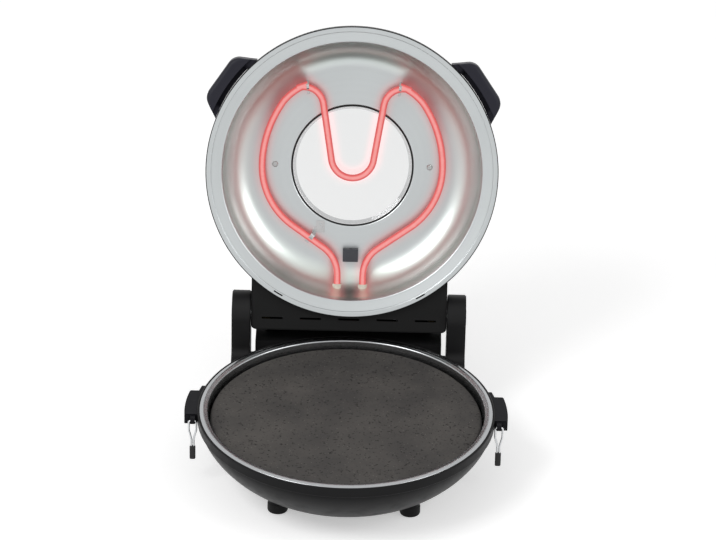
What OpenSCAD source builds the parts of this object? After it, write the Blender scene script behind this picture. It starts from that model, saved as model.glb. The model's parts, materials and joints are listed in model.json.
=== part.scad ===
// Electric pizza maker: a round steel dish with a baking stone, and a domed lid that is hinged at
// the back between two legs. All sizes are in millimetres. The part stands on z = 0 with its front
// towards -Y and its lid open against the stop.

/* [Lid position] */
// How far the lid stands open from closed, in degrees
lid_open = 110; // [95:1:115]

/* [Base dish] */
// Outer radius of the black dish's rim
bowl_r = 170; // [160:1:185]
// Height of the rim above the table
rim_z = 86; // [82:1:95]
// Wall of the black dish
bowl_wall = 2; // [1.5:0.1:3]
// Height of the straight band below the rim
band_h = 11.5; // [8:0.5:14]
// Radius of the dish's flat bottom
bottom_r = 105; // [95:1:112]
// Height of the dish's bottom above the table
bottom_z = 12; // [11:0.5:15]
// Fullness of the dish's curve between bottom and band
bowl_curve = 1.45; // [1.3:0.05:1.7]

/* [Steel tray in the base] */
// Width of the bright ring round the tray
ring_w = 8; // [6:0.5:10]
// Height of the ring's crown above its edges
ring_crown = 1.4; // [0.8:0.1:2]
// Thickness of the tray's sheet steel
tray_t = 0.8; // [0.6:0.1:1.2]
// Depth of the ledge under the stone, from the rim
ledge_d = 21; // [18:0.5:24]
// Width of the ledge that carries the stone
ledge_w = 9; // [7:0.5:12]
// Depth of the tray's floor below the ledge
well_d = 15; // [13:0.5:17]

/* [Baking stone] */
// Radius of the baking stone
stone_r = 155; // [145:1:155]
// Thickness of the baking stone
stone_t = 12; // [9:0.5:14]

/* [Lid] */
// Outer radius of the lid's shell at its mouth
lid_r = 170.5; // [168:0.5:180]
// Height of the lid's flat top above its mouth
lid_h = 80; // [76:1:90]
// Gap between the closed lid and the tray's ring
lid_gap = 0.4; // [0.3:0.1:1]
// Sheet thickness of the lid's shell
shell_t = 0.9; // [0.7:0.1:1.2]
// Height of the straight band at the shell's mouth
shell_band = 12; // [8:1:16]
// Radius of the shell's flat top
crown_r = 92; // [86:1:110]
// Depth of the liner's flat plate behind the mouth
plate_d = 64; // [58:1:66]
// Radius of the liner's flat plate
plate_r = 112; // [104:1:116]
// Radius of the liner's wall next to its flanges
wall_r = 150; // [146:1:152]
// Radius of the window's opening in the liner
window_r = 71.5; // [60:0.5:74]
// Thickness of the window's glass
glass_t = 4; // [3:0.5:5]

/* [Heating tubes] */
// Diameter of the heating tubes
tube_d = 8; // [6.5:0.1:9]
// Depth of the upper tube's centre line behind the lid's mouth
upper_d = 50; // [44:0.5:52]
// Radius of the lower tube's ring
lower_r = 104; // [90:1:115]
// Half the distance between a tube's two straight ends
end_x = 15; // [13:0.5:18]

/* [Hinge] */
// Distance of the hinge's axis behind the dish's centre
hinge_y = 171.4; // [170:0.2:178]
// Height of the hinge's axis above the table
hinge_z = 114; // [112:0.5:120]
// Radius of the hinge pins
pin_r = 6; // [5:0.5:7]
// Running clearance round each hinge pin
pin_play = 0.05; // [0.02:0.01:0.08]
// Distance from the middle to the inner face of each leg
leg_x = 115.4; // [111:0.2:118]
// Thickness of each leg
leg_w = 21.8; // [18:0.2:24]
// Radius of each leg's rounded top
leg_r = 26; // [24:0.5:28]

/* [Feet and screws] */
// Radius of the rubber feet
foot_r = 11.7; // [10:0.1:13]
// Half the distance between the front feet
foot_x = 75; // [65:1:80]
// Distance of the front feet in front of the dish's centre
foot_y = 80; // [75:1:88]
// Radius of the small screws' shanks
screw_r = 1.8; // [1.5:0.1:2.2]

/* [Carrying ears and wire bails] */
// Radius of the ears' outer edge
ear_r = 184.8; // [182:0.2:190]
// Thickness of the ears
ear_t = 12; // [10:0.5:13]
// Radius of the bail's wire
wire_r = 1.2; // [1:0.1:1.4]
// Distance from the bail's pivot to its tip
bail_l = 50; // [44:1:54]

/* [Lid handles] */
// Angle of each lid handle from the lid's front, in degrees
handle_angle = 55.5; // [50:0.5:60]
// Distance of the handle's outer edge from the lid's centre
handle_r = 190.5; // [188:0.5:198]
// Thickness of the handle
handle_t = 22; // [18:1:26]

/* [Rear housing of the lid] */
// Half the width of the lid's rear housing
housing_x = 114.6; // [109:0.2:114.7]
// Distance of the housing's rear wall behind the hinge's axis
housing_back = 17; // [15:0.5:19]
// Height of the housing's underside above the lid's mouth
housing_lift = 7; // [5:0.5:9]
// Height of the housing and its cover together
housing_h = 52; // [48:1:56]
// Wall of the moulded housings
housing_t = 2.5; // [2:0.1:3]
// Number of vent slots
slot_n = 5; // [3:1:5]
// Length of a vent slot
slot_l = 25; // [18:1:30]
// Width of a vent slot
slot_w = 2.4; // [1.8:0.1:3]

/* [Rear box of the base] */
// Half the width of the rear box
box_x = 109.4; // [104:0.2:109.4]
// Distance of the rear box's front edge behind the dish's centre
box_front = 155; // [150:1:158]
// Distance of the rear box's back behind the dish's centre
box_back = 200; // [198:1:206]
// Height of the rear box's deck above the table
deck_z = 84; // [78:0.5:84]
// Radius of the gland's hole for the supply lead
gland_r = 3.7; // [3.2:0.1:4.5]

/* [Thermostat] */
// Radius of the thermostat's knob
knob_r = 16; // [13:0.5:17]
// Sideways place of the knob on the housing's cover
knob_x = 62; // [50:1:80]

/* [Hidden] */

$fn = 96;
// Gap between neighbours that don't touch
clear = 0.3;
// A cut runs this far past the faces that it opens
over = 1;

// Lowest height of the lid's mouth when it is closed
mouth_z = rim_z + ring_crown / 2 + lid_gap;
// Tray
ring_out = bowl_r - 2.4;
ring_in = ring_out - ring_w;
shelf_z = rim_z - 1 - clear;
ledge_z = rim_z - ledge_d;
floor_z = ledge_z - well_d;
well_r = stone_r + 1.5 - ledge_w;
// Window
glass_z = lid_h - shell_t - 1 - glass_t;
glass_r = window_r + 8;
// Housing
housing_y = hinge_y + housing_back;
cover_t = 4;
// The feet reach up to the dish's bottom
foot_h = bottom_z;

// Plane geometry

function unit(v) = v / norm(v);
function left_of(v) = [-v[1], v[0]];
function reverse(p) = [for (i = [len(p) - 1:-1:0]) p[i]];

// Points of an arc about c, from angle a0 to a1, in n steps
function arc(c, r, a0, a1, n = 8) =
  [for (i = [0:n]) c + r * [cos(a0 + (a1 - a0) * i / n), sin(a0 + (a1 - a0) * i / n)]];

// A line of points moved sideways by t, with mitred corners
function beside(p, t) = [for (i = [0:len(p) - 1])
  let (a = i > 0 ? unit(p[i] - p[i - 1]) : unit(p[1] - p[0]),
       b = i < len(p) - 1 ? unit(p[i + 1] - p[i]) : a,
       n = unit(left_of(a) + left_of(b)))
  p[i] + n * t / (n * left_of(a))];

// A sheet of thickness t to the left of a line of points
function sheet(p, t) = concat(p, reverse(beside(p, t)));

// Quarter of a superellipse from [r0, z0], level, to [r1, z1], upright
function swell(r0, z0, r1, z1, p, n = 14) = [for (i = [0:n])
  let (t = 1 - pow(1 - i / n, 1.5))
  [r0 + (r1 - r0) * pow(1 - pow(1 - t, p), 1 / p), z0 + (z1 - z0) * t]];

// Outline of the black dish: flat bottom, swelling side, straight band
bowl_side = concat([[0, bottom_z]], swell(bottom_r, bottom_z, bowl_r - 2.5, rim_z - band_h - 1.5,
  bowl_curve), [[bowl_r, rim_z - band_h]], [[bowl_r, rim_z - 0.8]]);
// Outline of the lid's shell above its mouth
shell_side = concat([[lid_r, 0], [lid_r, shell_band], [lid_r - 1.8, shell_band + 1.5]],
  reverse(swell_top()));
function swell_top() = [for (p = swell(0, 0, 1, 1, 2.2, 14))
  [crown_r + (lid_r - 1.8 - crown_r) * p[0], lid_h - (lid_h - shell_band - 2) * p[1]]];

// The open lid's rearmost reach, for the origin under the middle of the part's box
function reach_y(p) = hinge_y * (1 - cos(lid_open))
  + (mouth_z + p[1] - hinge_z) * sin(lid_open) + p[0] * abs(cos(lid_open));
lid_back = max([for (p = shell_side) reach_y(p)]);
y_shift = (bowl_r - lid_back) / 2;

// Places

// From the dish's centre on the table to the part's origin
module base_place() translate([0, y_shift, 0]) children();

// From the closed lid, with its mouth at height 0, to the open lid
module lid_place() base_place()
  translate([0, hinge_y, hinge_z]) rotate([-lid_open, 0, 0])
  translate([0, -hinge_y, mouth_z - hinge_z]) children();

module both_sides() {
  children();
  mirror([1, 0, 0]) children();
}

// Basic solids

// A body of revolution from points [r, z]
module turned(points) rotate_extrude() polygon(points);

// A cylinder along +X from x0 to x1
module bar_x(x0, x1, r) translate([x0, 0, 0]) rotate([0, 90, 0]) cylinder(h = x1 - x0, r = r);

// A cylinder along +Y from y0 to y1
module bar_y(y0, y1, r) translate([0, y0, 0]) rotate([-90, 0, 0]) cylinder(h = y1 - y0, r = r);

// A box with rounded upright edges
module soft_box(size, r) linear_extrude(size[2]) soft_square([size[0], size[1]], r);

// A rectangle about the origin in x, from y = 0, with round corners
module soft_square(size, r) {
  translate([-size[0] / 2 + r, 0]) square([size[0] - 2 * r, size[1]]);
  translate([-size[0] / 2, r]) square([size[0], size[1] - 2 * r]);
  for (x = [-1, 1], y = [r, size[1] - r])
    translate([x * (size[0] / 2 - r), y]) circle(r);
}

// A pan-head screw pointing down, with its head's underside at height 0
module screw(length, r = screw_r, head = 2) {
  head_r = 1.9 * r;
  difference() {
    turned([[0, 0], [head_r, 0], [head_r, 0.5 * head], [0.7 * head_r, head], [0, head]]);
    for (a = [0, 90]) rotate(a)
      translate([-0.65 * head_r, -0.12 * head_r, 0.45 * head]) cube([1.3 * head_r, 0.24 * head_r, head]);
  }
  translate([0, 0, -length]) cylinder(h = length, r = r);
}

// The tangent length of a path's corner i, whose radius is the third number of its point
function flat(p) = [p[0], p[1]];
function turn(p, i) = let (a = unit(flat(p[i]) - flat(p[i - 1])), b = unit(flat(p[i + 1]) - flat(p[i])))
  atan2(a[0] * b[1] - a[1] * b[0], a * b);
function tangent(p, i) = i <= 0 || i >= len(p) - 1 ? 0 : p[i][2] * tan(abs(turn(p, i)) / 2);

// A round bar bent along a path of points [x, y, bend radius]
function bend_centre(p, i) = let (u = unit(flat(p[i]) - flat(p[i - 1])))
  flat(p[i]) - u * tangent(p, i) + sign(turn(p, i)) * p[i][2] * left_of(u);

// A hair-thin collar, proud by rim, closes each joint between a straight length and a bend
module bent_bar(p, d, rim = 0.02) {
  for (i = [0:len(p) - 2])
    let (a = flat(p[i]), b = flat(p[i + 1]), u = unit(b - a), from = a + u * tangent(p, i),
         span = norm(b - a) - tangent(p, i) - tangent(p, i + 1))
    if (span > 0.01) translate([from[0], from[1], 0]) rotate([0, 0, atan2(u[1], u[0])])
      bar_x(0, span, d / 2);
  for (i = [1:len(p) - 2])
    let (t = turn(p, i), s = sign(t), u = unit(flat(p[i]) - flat(p[i - 1])),
         w = unit(flat(p[i + 1]) - flat(p[i])), first = flat(p[i]) - u * tangent(p, i),
         last = flat(p[i]) + w * tangent(p, i), c = bend_centre(p, i)) {
      translate([c[0], c[1], 0])
        rotate([0, 0, atan2(u[1], u[0]) - s * 90 - (s < 0 ? abs(t) : 0)])
        rotate_extrude(angle = abs(t)) translate([p[i][2], 0]) circle(d / 2, $fn = 32);
      collar(first, u, d / 2 + rim);
      collar(last, w, d / 2 + rim);
    }
}

module collar(place, u, r) translate([place[0], place[1], 0]) rotate([0, 0, atan2(u[1], u[0])])
  bar_x(-0.15, 0.15, r);

function mirrored(p) = [for (q = reverse(p)) [-q[0], q[1], q[2]]];

// Base: black dish

// The solid space inside the dish's outer face, grown by g
module bowl_space(g) turned(concat([[0, bottom_z - g]],
  [for (p = beside(bowl_side, -g)) if (p[0] > bottom_r / 2) p], [[0, rim_z]]));

module bowl_screw_places() for (a = [90, 210, 330]) rotate(a) translate([60, 0, 0]) children();

module base_bowl() color("#2a2a2b") base_place() difference() {
  union() {
    turned(concat(bowl_side, [[bowl_r - 0.8, rim_z], [ring_out + clear, rim_z],
      [ring_out + clear, shelf_z], [ring_in + 3, shelf_z], [ring_in + 3, shelf_z - 1.5],
      [bowl_r - bowl_wall, shelf_z - 2.5]],
      [for (p = reverse(beside(bowl_side, bowl_wall))) if (p[1] < shelf_z - 3) p]));
    both_sides() difference() {
      translate([foot_x, -foot_y, foot_h]) cylinder(h = 20, r = foot_r - 0.7);
      bowl_space(-bowl_wall);
    }
  }
  bowl_screw_places() translate([0, 0, bottom_z - over]) cylinder(h = 10, r = screw_r + 0.2);
  both_sides() translate([foot_x, -foot_y, bottom_z - over]) cylinder(h = 7, r = screw_r);
  // Slot for the lower tube's ends and the wires into the rear box
  both_sides() translate([end_x, 0, floor_z + tube_d]) bar_y(box_front - 15, bowl_r + 5, 7);
  // Clearance holes of the ears' screws
  both_sides() ear_screw_places() bar_x(-8, 3, ear_screw_r + 0.2);
}

// Base: bright tray with ring, ledge and well

// The ring's crown is an arc over its width
crown_half = ring_w / 2 - 1.4;
crown_r0 = (crown_half * crown_half + pow(ring_crown / 2, 2)) / ring_crown;
crown_a = 90 - asin(crown_half / crown_r0);

tray_line = concat(
  arc([ring_out - 1, rim_z - 1], 1, 0, 60, 3),
  arc([(ring_out + ring_in) / 2, rim_z - crown_r0 + ring_crown / 2], crown_r0, crown_a, 180 - crown_a, 8),
  arc([ring_in + 0.4, rim_z - 2], 2, 120, 175, 4),
  arc([stone_r - 0.4, ledge_z + 3], 3, 0, -90, 4),
  arc([well_r + 2, ledge_z - 2], 2, 90, 175, 4),
  arc([well_r - 8, floor_z + 6], 6, -5, -90, 5),
  [[0, floor_z]]);

module base_tray() color("#c9cacc") base_place() difference() {
  turned(sheet(tray_line, tray_t));
  both_sides() translate([end_x, 0, floor_z + tube_d]) bar_y(well_r - 20, well_r + 6, tube_d / 2 + 1.6);
  bowl_screw_places() translate([0, 0, floor_z - 5]) cylinder(h = 10, r = screw_r);
}

module tray_posts() color("#b9b9b4") base_place() bowl_screw_places() difference() {
  translate([0, 0, bottom_z + bowl_wall]) cylinder(h = floor_z - tray_t - bottom_z - bowl_wall, r = 4.5);
  translate([0, 0, bottom_z]) cylinder(h = 20, r = screw_r);
}

module tray_screws() color("#8d8f92") base_place() bowl_screw_places()
  translate([0, 0, bottom_z]) mirror([0, 0, 1]) screw(14);

module baking_stone() color("#4b4845") base_place() translate([0, 0, ledge_z])
  turned([[0, 0], [stone_r - 1.2, 0], [stone_r, 1.2], [stone_r, stone_t - 1.8],
    [stone_r - 0.6, stone_t - 0.6], [stone_r - 1.8, stone_t], [0, stone_t]]);

// Base: lower heating tube

tube_z = floor_z + tube_d;
lower_path = concat(
  [[end_x, box_front + 12, 0], [end_x, lower_r - 6, 14], [lower_r * 0.7, lower_r - 6, 30],
   [lower_r, lower_r * 0.4, 55], [lower_r, -lower_r * 0.42, 60], [lower_r * 0.42, -lower_r, 60]],
  [[-lower_r * 0.42, -lower_r, 60], [-lower_r, -lower_r * 0.42, 60], [-lower_r, lower_r * 0.4, 55],
   [-lower_r * 0.7, lower_r - 6, 30], [-end_x, lower_r - 6, 14], [-end_x, box_front + 12, 0]]);

module lower_element() color("#5d5a57") base_place() translate([0, 0, tube_z])
  bent_bar(lower_path, tube_d);

// A strap over a tube that lies along +Y, with two feet at depth d below the tube
module strap(d, w = 7, left_foot = 7) translate([0, w / 2, 0]) rotate([90, 0, 0])
  linear_extrude(w) difference() {
  union() {
    circle(tube_d / 2 + 0.9);
    translate([-tube_d / 2 - 0.9, -d]) square([tube_d + 1.8, d]);
    translate([-tube_d / 2 - left_foot, -d]) square([tube_d + left_foot + 7, 0.8]);
  }
  circle(tube_d / 2 + 0.15);
  translate([-tube_d / 2 - 0.15, -d - over]) square([tube_d + 0.3, d + over]);
}

module lower_element_clips() color("#b5b6b8") base_place() translate([0, 0, tube_z]) {
  both_sides() translate([lower_r, 0, 0]) strap(tube_d);
  translate([0, -lower_r, 0]) rotate(90) strap(tube_d);
}

// A ceramic bead from y0 to y1 on a tube's end that passes a wall, with a collar that starts at c
collar_w = 2.5;
module tube_seal(y0, y1, c) difference() {
  union() {
    bar_y(y0, y1, tube_d / 2 + 1.4);
    bar_y(c, c + collar_w, tube_d / 2 + 3);
  }
  bar_y(y0 - 5, y1 + 5, tube_d / 2 + 0.05);
}

module lower_element_seals() color("#d8d2c4") base_place() both_sides()
  translate([end_x, 0, tube_z]) tube_seal(well_r - 9, well_r + 2.5, well_r - 9);

// Base: carrying ears and wire bails

bail_x = ear_r - 10.2;
bail_y = -21;
bail_z = rim_z - 7;
bail_half = 4.2;
lug_half = bail_half - wire_r - clear;
ear_front = -15;
ear_rear = 40;
ear_top = rim_z - 2;

ear_screw_r = screw_r - 0.15;
ear_screw_z = rim_z - 7;
module ear_screw_places() for (a = [-2, 9])
  rotate(a) translate([bowl_r, 0, ear_screw_z]) children();

// Half a ring between two radii, from y0 to y1 on the +X side
module ring_piece(r0, r1, y0, y1) intersection() {
  difference() {
    circle(r1);
    circle(r0);
  }
  translate([r0 / 2, y0]) square([r1, y1 - y0]);
}

// The right-hand ear: a plate round the dish's band, with a finger groove below and a lug in front
module ear() difference() {
  union() {
    translate([0, 0, ear_top - ear_t]) linear_extrude(ear_t - 1.2)
      ring_piece(bowl_r + 0.05, ear_r, ear_front, ear_rear);
    translate([0, 0, ear_top - 1.2]) linear_extrude(1.2)
      ring_piece(bowl_r + 0.05, ear_r - 1.2, ear_front + 1, ear_rear - 1);
    // Flare along the dish behind the ear
    translate([0, 0, ear_top - ear_t]) linear_extrude(ear_t - 1.2)
      ring_piece(bowl_r + 0.05, bowl_r + 5, ear_rear - 1, ear_rear + 12);
    translate([bail_x, bail_y, bail_z]) bar_x(-lug_half, lug_half, 3.6);
    translate([bail_x - lug_half, bail_y, bail_z - 3.6])
      cube([2 * lug_half, ear_front - bail_y + over, 7.2]);
  }
  translate([0, 0, ear_top - ear_t - over]) linear_extrude(6)
    ring_piece(bowl_r + 5.5, ear_r - 3, ear_front + 4, ear_rear - 4);
  translate([bail_x, bail_y, bail_z]) bar_x(-5, 5, wire_r + 0.06);
  ear_screw_places() bar_x(-over, 5.2, ear_screw_r);
}

module ear_right() color("#27272b") base_place() ear();
module ear_left() color("#27272b") base_place() mirror([1, 0, 0]) ear();

module ear_screws() color("#8d8f92") base_place() both_sides() ear_screw_places()
  translate([-bowl_wall - 0.1, 0, 0]) rotate([0, -90, 0]) screw(7, ear_screw_r);

// The bail's wire in its own plane: x across, y along, with the pivot at the origin
tip_half = wire_r + 0.15;
bail_half_path = [[tip_half, -bail_l, 0], [tip_half, -24, 8], [bail_half, -12, 8], [bail_half, 0, 1.9]];
bail_path = concat(bail_half_path, mirrored(bail_half_path));

module bail() translate([bail_x, bail_y, bail_z]) rotate([90, 0, 0])
  bent_bar(bail_path, 2 * wire_r, 0.04);
module bail_right() color("#c4c6c8") base_place() bail();
module bail_left() color("#c4c6c8") base_place() mirror([1, 0, 0]) bail();

// A sleeve that is pushed over the wire's two ends
grip_l = 17;
module bail_grip() translate([bail_x, bail_y, bail_z - bail_l]) difference() {
  translate([0, -2.2, -1.3]) soft_box([6.8, 4.4, grip_l], 1.8);
  linear_extrude(grip_l) {
    square([2 * tip_half, 2 * wire_r + 0.2], center = true);
    for (x = [-tip_half, tip_half]) translate([x, 0]) circle(wire_r + 0.1);
  }
}
module bail_grip_right() color("#1b1b1c") base_place() bail_grip();
module bail_grip_left() color("#1b1b1c") base_place() mirror([1, 0, 0]) bail_grip();

// Base: hinge legs

leg_mid = leg_x + leg_w / 2;
leg_front = hinge_y - leg_r;
arm_y = 70;
arm_low = 34;
arm_high = rim_z - band_h - 4;

// Side view of a leg: round top at the hinge, upright post, arm that reaches the dish
module leg_outline(inset) {
  translate([hinge_y, hinge_z]) circle(leg_r - inset);
  translate([leg_front + inset, foot_h - 2]) square([2 * (leg_r - inset), hinge_z - foot_h + 2]);
  difference() {
    translate([arm_y, arm_low + inset]) square([leg_front - arm_y + 2, arm_high + 12 - arm_low - 2 * inset]);
    translate([leg_front - 12 + inset, arm_high + 12]) circle(12 + inset);
    translate([arm_y - over, arm_high - inset]) square([leg_front - 12 - arm_y + over + inset, 40]);
  }
}

// Screws from inside the rear box into the leg
module leg_screw_places() for (y = [box_front + 8, box_back - 10])
  translate([box_x - housing_t, y, leg_screw_z]) children();

// The right-hand leg: a moulding with chamfered faces, cut to the dish's side
module leg() difference() {
  union() {
    translate([leg_x + 1, 0, 0]) rotate([90, 0, 90]) linear_extrude(leg_w - 2) leg_outline(0);
    translate([leg_x, 0, 0]) rotate([90, 0, 90]) linear_extrude(leg_w) leg_outline(1);
  }
  bowl_space(0.1);
  translate([0, hinge_y, hinge_z]) bar_x(leg_x - over, leg_x + leg_w + over, pin_r + 0.02);
  // Seat of the pin's cap in the outer face
  translate([0, hinge_y, hinge_z]) bar_x(leg_x + leg_w - 2, leg_x + leg_w + over, pin_r + 4.2);
  // Shallow panel in the outer face
  translate([leg_x + leg_w - 1.2, 0, 0]) rotate([90, 0, 90]) linear_extrude(5)
    translate([hinge_y, foot_h + 14]) soft_square([2 * leg_r - 16, hinge_z - leg_r - foot_h - 12], 5);
  translate([leg_mid, hinge_y + 3, foot_h - 3]) cylinder(h = 9, r = screw_r);
  leg_screw_places() bar_x(0, leg_x - box_x + housing_t + 9, screw_r);
}

module leg_right() color("#2a2a2b") base_place() leg();
module leg_left() color("#2a2a2b") base_place() mirror([1, 0, 0]) leg();

module leg_screws() color("#8d8f92") base_place() both_sides() leg_screw_places()
  translate([-0.05, 0, 0]) rotate([0, -90, 0]) screw(16);

// Hinge pins: hollow steel, with a cap in the leg's outer face
module hinge_pin() translate([0, hinge_y, hinge_z]) difference() {
  union() {
    bar_x(leg_x - 14, leg_x + leg_w - 1, pin_r);
    bar_x(leg_x + leg_w - 2 + 0.05, leg_x + leg_w + 0.6, pin_r + 4);
  }
  bar_x(leg_x - 20, leg_x + leg_w - 4, pin_r - 2);
}
module hinge_pin_right() color("#a9abad") base_place() hinge_pin();
module hinge_pin_left() color("#a9abad") base_place() mirror([1, 0, 0]) hinge_pin();

// Base: rear box with the lid's stop

box_low = 24;
tie_z = 44;
leg_screw_z = box_low + 10;
stop_back = box_back - 1;
stop_front = box_back - 8.5;

// The space that the open lid's rear wall fills, with a clearance
module open_lid_space() translate([0, hinge_y, hinge_z]) rotate([-lid_open, 0, 0])
  translate([-200, -200, -housing_h]) cube([400, 200 + housing_back + clear, 2 * housing_h]);

module rear_box() color("#242425") base_place() difference() {
  union() {
    translate([-box_x, box_front, box_low]) cube([2 * box_x, box_back - box_front, deck_z - box_low]);
    // Feet of the box that meet the legs
    translate([-leg_x, leg_front + 4, box_low]) cube([2 * leg_x, box_back - leg_front - 4, tie_z - box_low]);
    // Stop rib for the open lid
    difference() {
      translate([-box_x + 12, stop_front, deck_z - over]) cube([2 * box_x - 24, stop_back - stop_front, 30]);
      open_lid_space();
    }
  }
  bowl_space(0.1);
  // Room for the terminals, open at the back, with posts for the cover's screws
  difference() {
    translate([-box_x + housing_t, box_front + housing_t, box_low + housing_t])
      cube([2 * (box_x - housing_t), box_back, deck_z - box_low - 2 * housing_t]);
    rear_cover_screw_places() bar_y(-14, -boss_l - clear, boss_r + 1);
  }
  rear_cover_screw_places() bar_y(-12, over, screw_r);
  both_sides() leg_screw_places() bar_x(-over, 20, screw_r + 0.2);
}

boss_l = 3;
boss_r = 5;
// The lower pair of screws lies above the heads of the leg's screws
cover_screw_in = boss_r + 3;
cover_screw_z = [leg_screw_z + 12, deck_z - cover_screw_in];
module rear_cover_screw_places() for (x = [-box_x + cover_screw_in, box_x - cover_screw_in],
                                      z = cover_screw_z)
  translate([x, box_back, z]) children();

gland_x = -70;
gland_z = 45;
cover_w = 2.5;

module rear_cover() color("#242425") base_place() difference() {
  union() {
    translate([-box_x, box_back + 0.05, box_low]) cube([2 * box_x, cover_w, deck_z - box_low]);
    translate([-box_x + housing_t + 0.2, box_back - 3, box_low + housing_t + 0.2])
      cube([2 * (box_x - housing_t) - 0.4, 3.1, deck_z - box_low - 2 * housing_t - 0.4]);
  }
  // The lip's inside, with a boss left standing at each screw
  difference() {
    translate([-box_x + housing_t + 1.8, box_back - 4, box_low + housing_t + 1.8])
      cube([2 * (box_x - housing_t) - 3.6, 4 + 0.05, deck_z - box_low - 2 * housing_t - 3.6]);
    rear_cover_screw_places() bar_y(-boss_l, 1, boss_r);
  }
  rear_cover_screw_places() bar_y(-5, 9, screw_r + 0.2);
  translate([gland_x, box_back, gland_z]) bar_y(-5, 9, 7);
  // Louvres that let the box breathe
  for (x = [-22:11:66]) translate([x, box_back + 9, box_low + 16]) rotate([90, 0, 0])
    linear_extrude(14) soft_square([3, 24], 1.4);
}

module rear_cover_screws() color("#8d8f92") base_place() rear_cover_screw_places()
  translate([0, cover_w + 0.05, 0]) rotate([-90, 0, 0]) screw(10);

module cord_gland() color("#1d1d1e") base_place() translate([gland_x, box_back, gland_z]) difference() {
  union() {
    bar_y(-5.5, cover_w + 6, 6.95);
    bar_y(-5.5, -0.3 - 3, 9);
    bar_y(cover_w + 0.05, cover_w + 3, 9.5);
  }
  bar_y(-10, cover_w + 10, gland_r);
}

block_y = box_back - 17;
block_half = end_x + 8;
well_z = box_low + housing_t + 6;
wire_d = 2.6;

// Ceramic block with four wells under the tube's ends
module terminal_block() color("#e2ded2") base_place() difference() {
  translate([-block_half, block_y - 8, box_low + housing_t]) cube([2 * block_half, 16, 16]);
  for (x = [-end_x, -end_x / 3, end_x / 3, end_x]) translate([x, block_y, well_z]) {
    cylinder(h = 20, r = 2.6);
    bar_y(-10, 10, 1.7);
  }
}

fuse_x = 62;
module thermal_fuse() color("#cfd2d6") base_place() translate([fuse_x, block_y, box_low + housing_t]) {
  translate([-7, -5, 0]) cube([14, 10, 1.2]);
  translate([0, 0, 4.6]) bar_x(-7, 7, 3.5);
}

module base_wiring() color("#b8442f") base_place() {
  // From the tube's ends down into the block
  both_sides() translate([end_x, 0, 0]) rotate([90, 0, 90])
    bent_bar([[box_front + 12.05, tube_z, 0], [block_y, tube_z, 5], [block_y, well_z + 0.05, 0]], wire_d);
  // Across the box to the fuse
  translate([0, block_y, box_low + housing_t + 4.6])
    bar_x(block_half + 0.05, fuse_x - 7.05, wire_d / 2);
}

// Base: rubber feet

module foot() difference() {
  turned([[0, 0], [foot_r - 1.6, 0], [foot_r - 0.5, 0.6], [foot_r, 1.8], [foot_r, foot_h - 2.5],
    [foot_r - 0.7, foot_h], [0, foot_h]]);
  translate([0, 0, -over]) cylinder(h = 5, r = 2.2 * screw_r);
  translate([0, 0, -over]) cylinder(h = foot_h + 2, r = screw_r + 0.1);
}

module front_foot_places() both_sides() translate([foot_x, -foot_y, 0]) children();
module rear_foot_places() both_sides() translate([leg_mid, hinge_y + 3, 0]) children();

module front_feet() color("#161616") base_place() front_foot_places() foot();

module rear_feet() color("#161616") base_place() rear_foot_places() difference() {
  turned([[0, 0], [leg_w / 2 - 2, 0], [leg_w / 2 - 0.6, 1.6], [leg_w / 2 - 0.6, foot_h - 2],
    [0, foot_h - 2]]);
  translate([0, 0, -over]) cylinder(h = 5, r = 2.2 * screw_r);
  translate([0, 0, -over]) cylinder(h = foot_h + 2, r = screw_r + 0.1);
}

module foot_screws() color("#8d8f92") base_place() {
  front_foot_places() translate([0, 0, 4]) mirror([0, 0, 1]) screw(12);
  rear_foot_places() translate([0, 0, 4]) mirror([0, 0, 1]) screw(11);
}

// Lid: black shell

module shell_space(g, low = 0) turned(concat([[0, low]], [[lid_r + g, low]],
  [for (p = beside(shell_side, -g)) if (p[1] > low + 1) p], [[0, lid_h + g]]));

module lid_shell() color("#2a2a2b") lid_place() difference() {
  turned(sheet(concat(shell_side, [[window_r + 1.5, lid_h]]), shell_t));
  handle_screw_places() bar_x(-6, 6, screw_r + 0.2);
  // Holes for the upper tube's ends into the rear housing
  both_sides() translate([end_x, 0, upper_d]) bar_y(wall_r, lid_r + 10, 7);
}

// Lid: bright liner with two flanges, a deep cove and a flat plate with the window's opening

flange_out = lid_r - shell_t - 0.1;
flange_step = lid_r - 5.2;
cove_r = wall_r - plate_r;
liner_line = concat(
  [[flange_out, 0], [flange_step, 0]],
  arc([flange_step - 0.2, 1], 1, 270, 190, 4),
  [[flange_step - 1.4, 2.3]],
  [[wall_r + 3.6, 4.8]],
  arc([wall_r + 3.4, 6.6], 1.8, 265, 185, 4),
  [[wall_r + 0.9, 12]],
  arc([plate_r, plate_d - cove_r], cove_r, 0, 90, 16),
  arc([window_r + 2, plate_d + 2], 2, 270, 180, 4),
  [[window_r, plate_d + 3]]);

module liner_screw_places() both_sides() translate([91, 0, 0]) children();

// Two short slots at the back of the flange's step
slot_angle = 30;
module lid_liner() color("#c9cacc") lid_place() difference() {
  turned(sheet(liner_line, -tray_t));
  both_sides() translate([end_x, 0, upper_d]) bar_y(plate_r, wall_r + 10, tube_d / 2 + 1.6);
  liner_screw_places() translate([0, 0, plate_d - 5]) cylinder(h = 10, r = screw_r + 0.2);
  both_sides() rotate(90 - slot_angle) translate([flange_step + 1, 0, -over])
    rotate(-90) translate([0, -0.8, 0]) soft_box([14, 1.6, 3], 0.7);
}

module liner_screws() color("#b5b6b8") lid_place() liner_screw_places()
  translate([0, 0, plate_d]) mirror([0, 0, 1]) screw(lid_h - shell_t - plate_d - 0.3);

// Lid: window

module window_glass() color("#8a8f94", 0.5) lid_place() translate([0, 0, glass_z])
  turned([[0, 0], [glass_r - 0.5, 0], [glass_r, 0.5], [glass_r, glass_t - 0.5],
    [glass_r - 0.5, glass_t], [0, glass_t]]);

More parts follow.
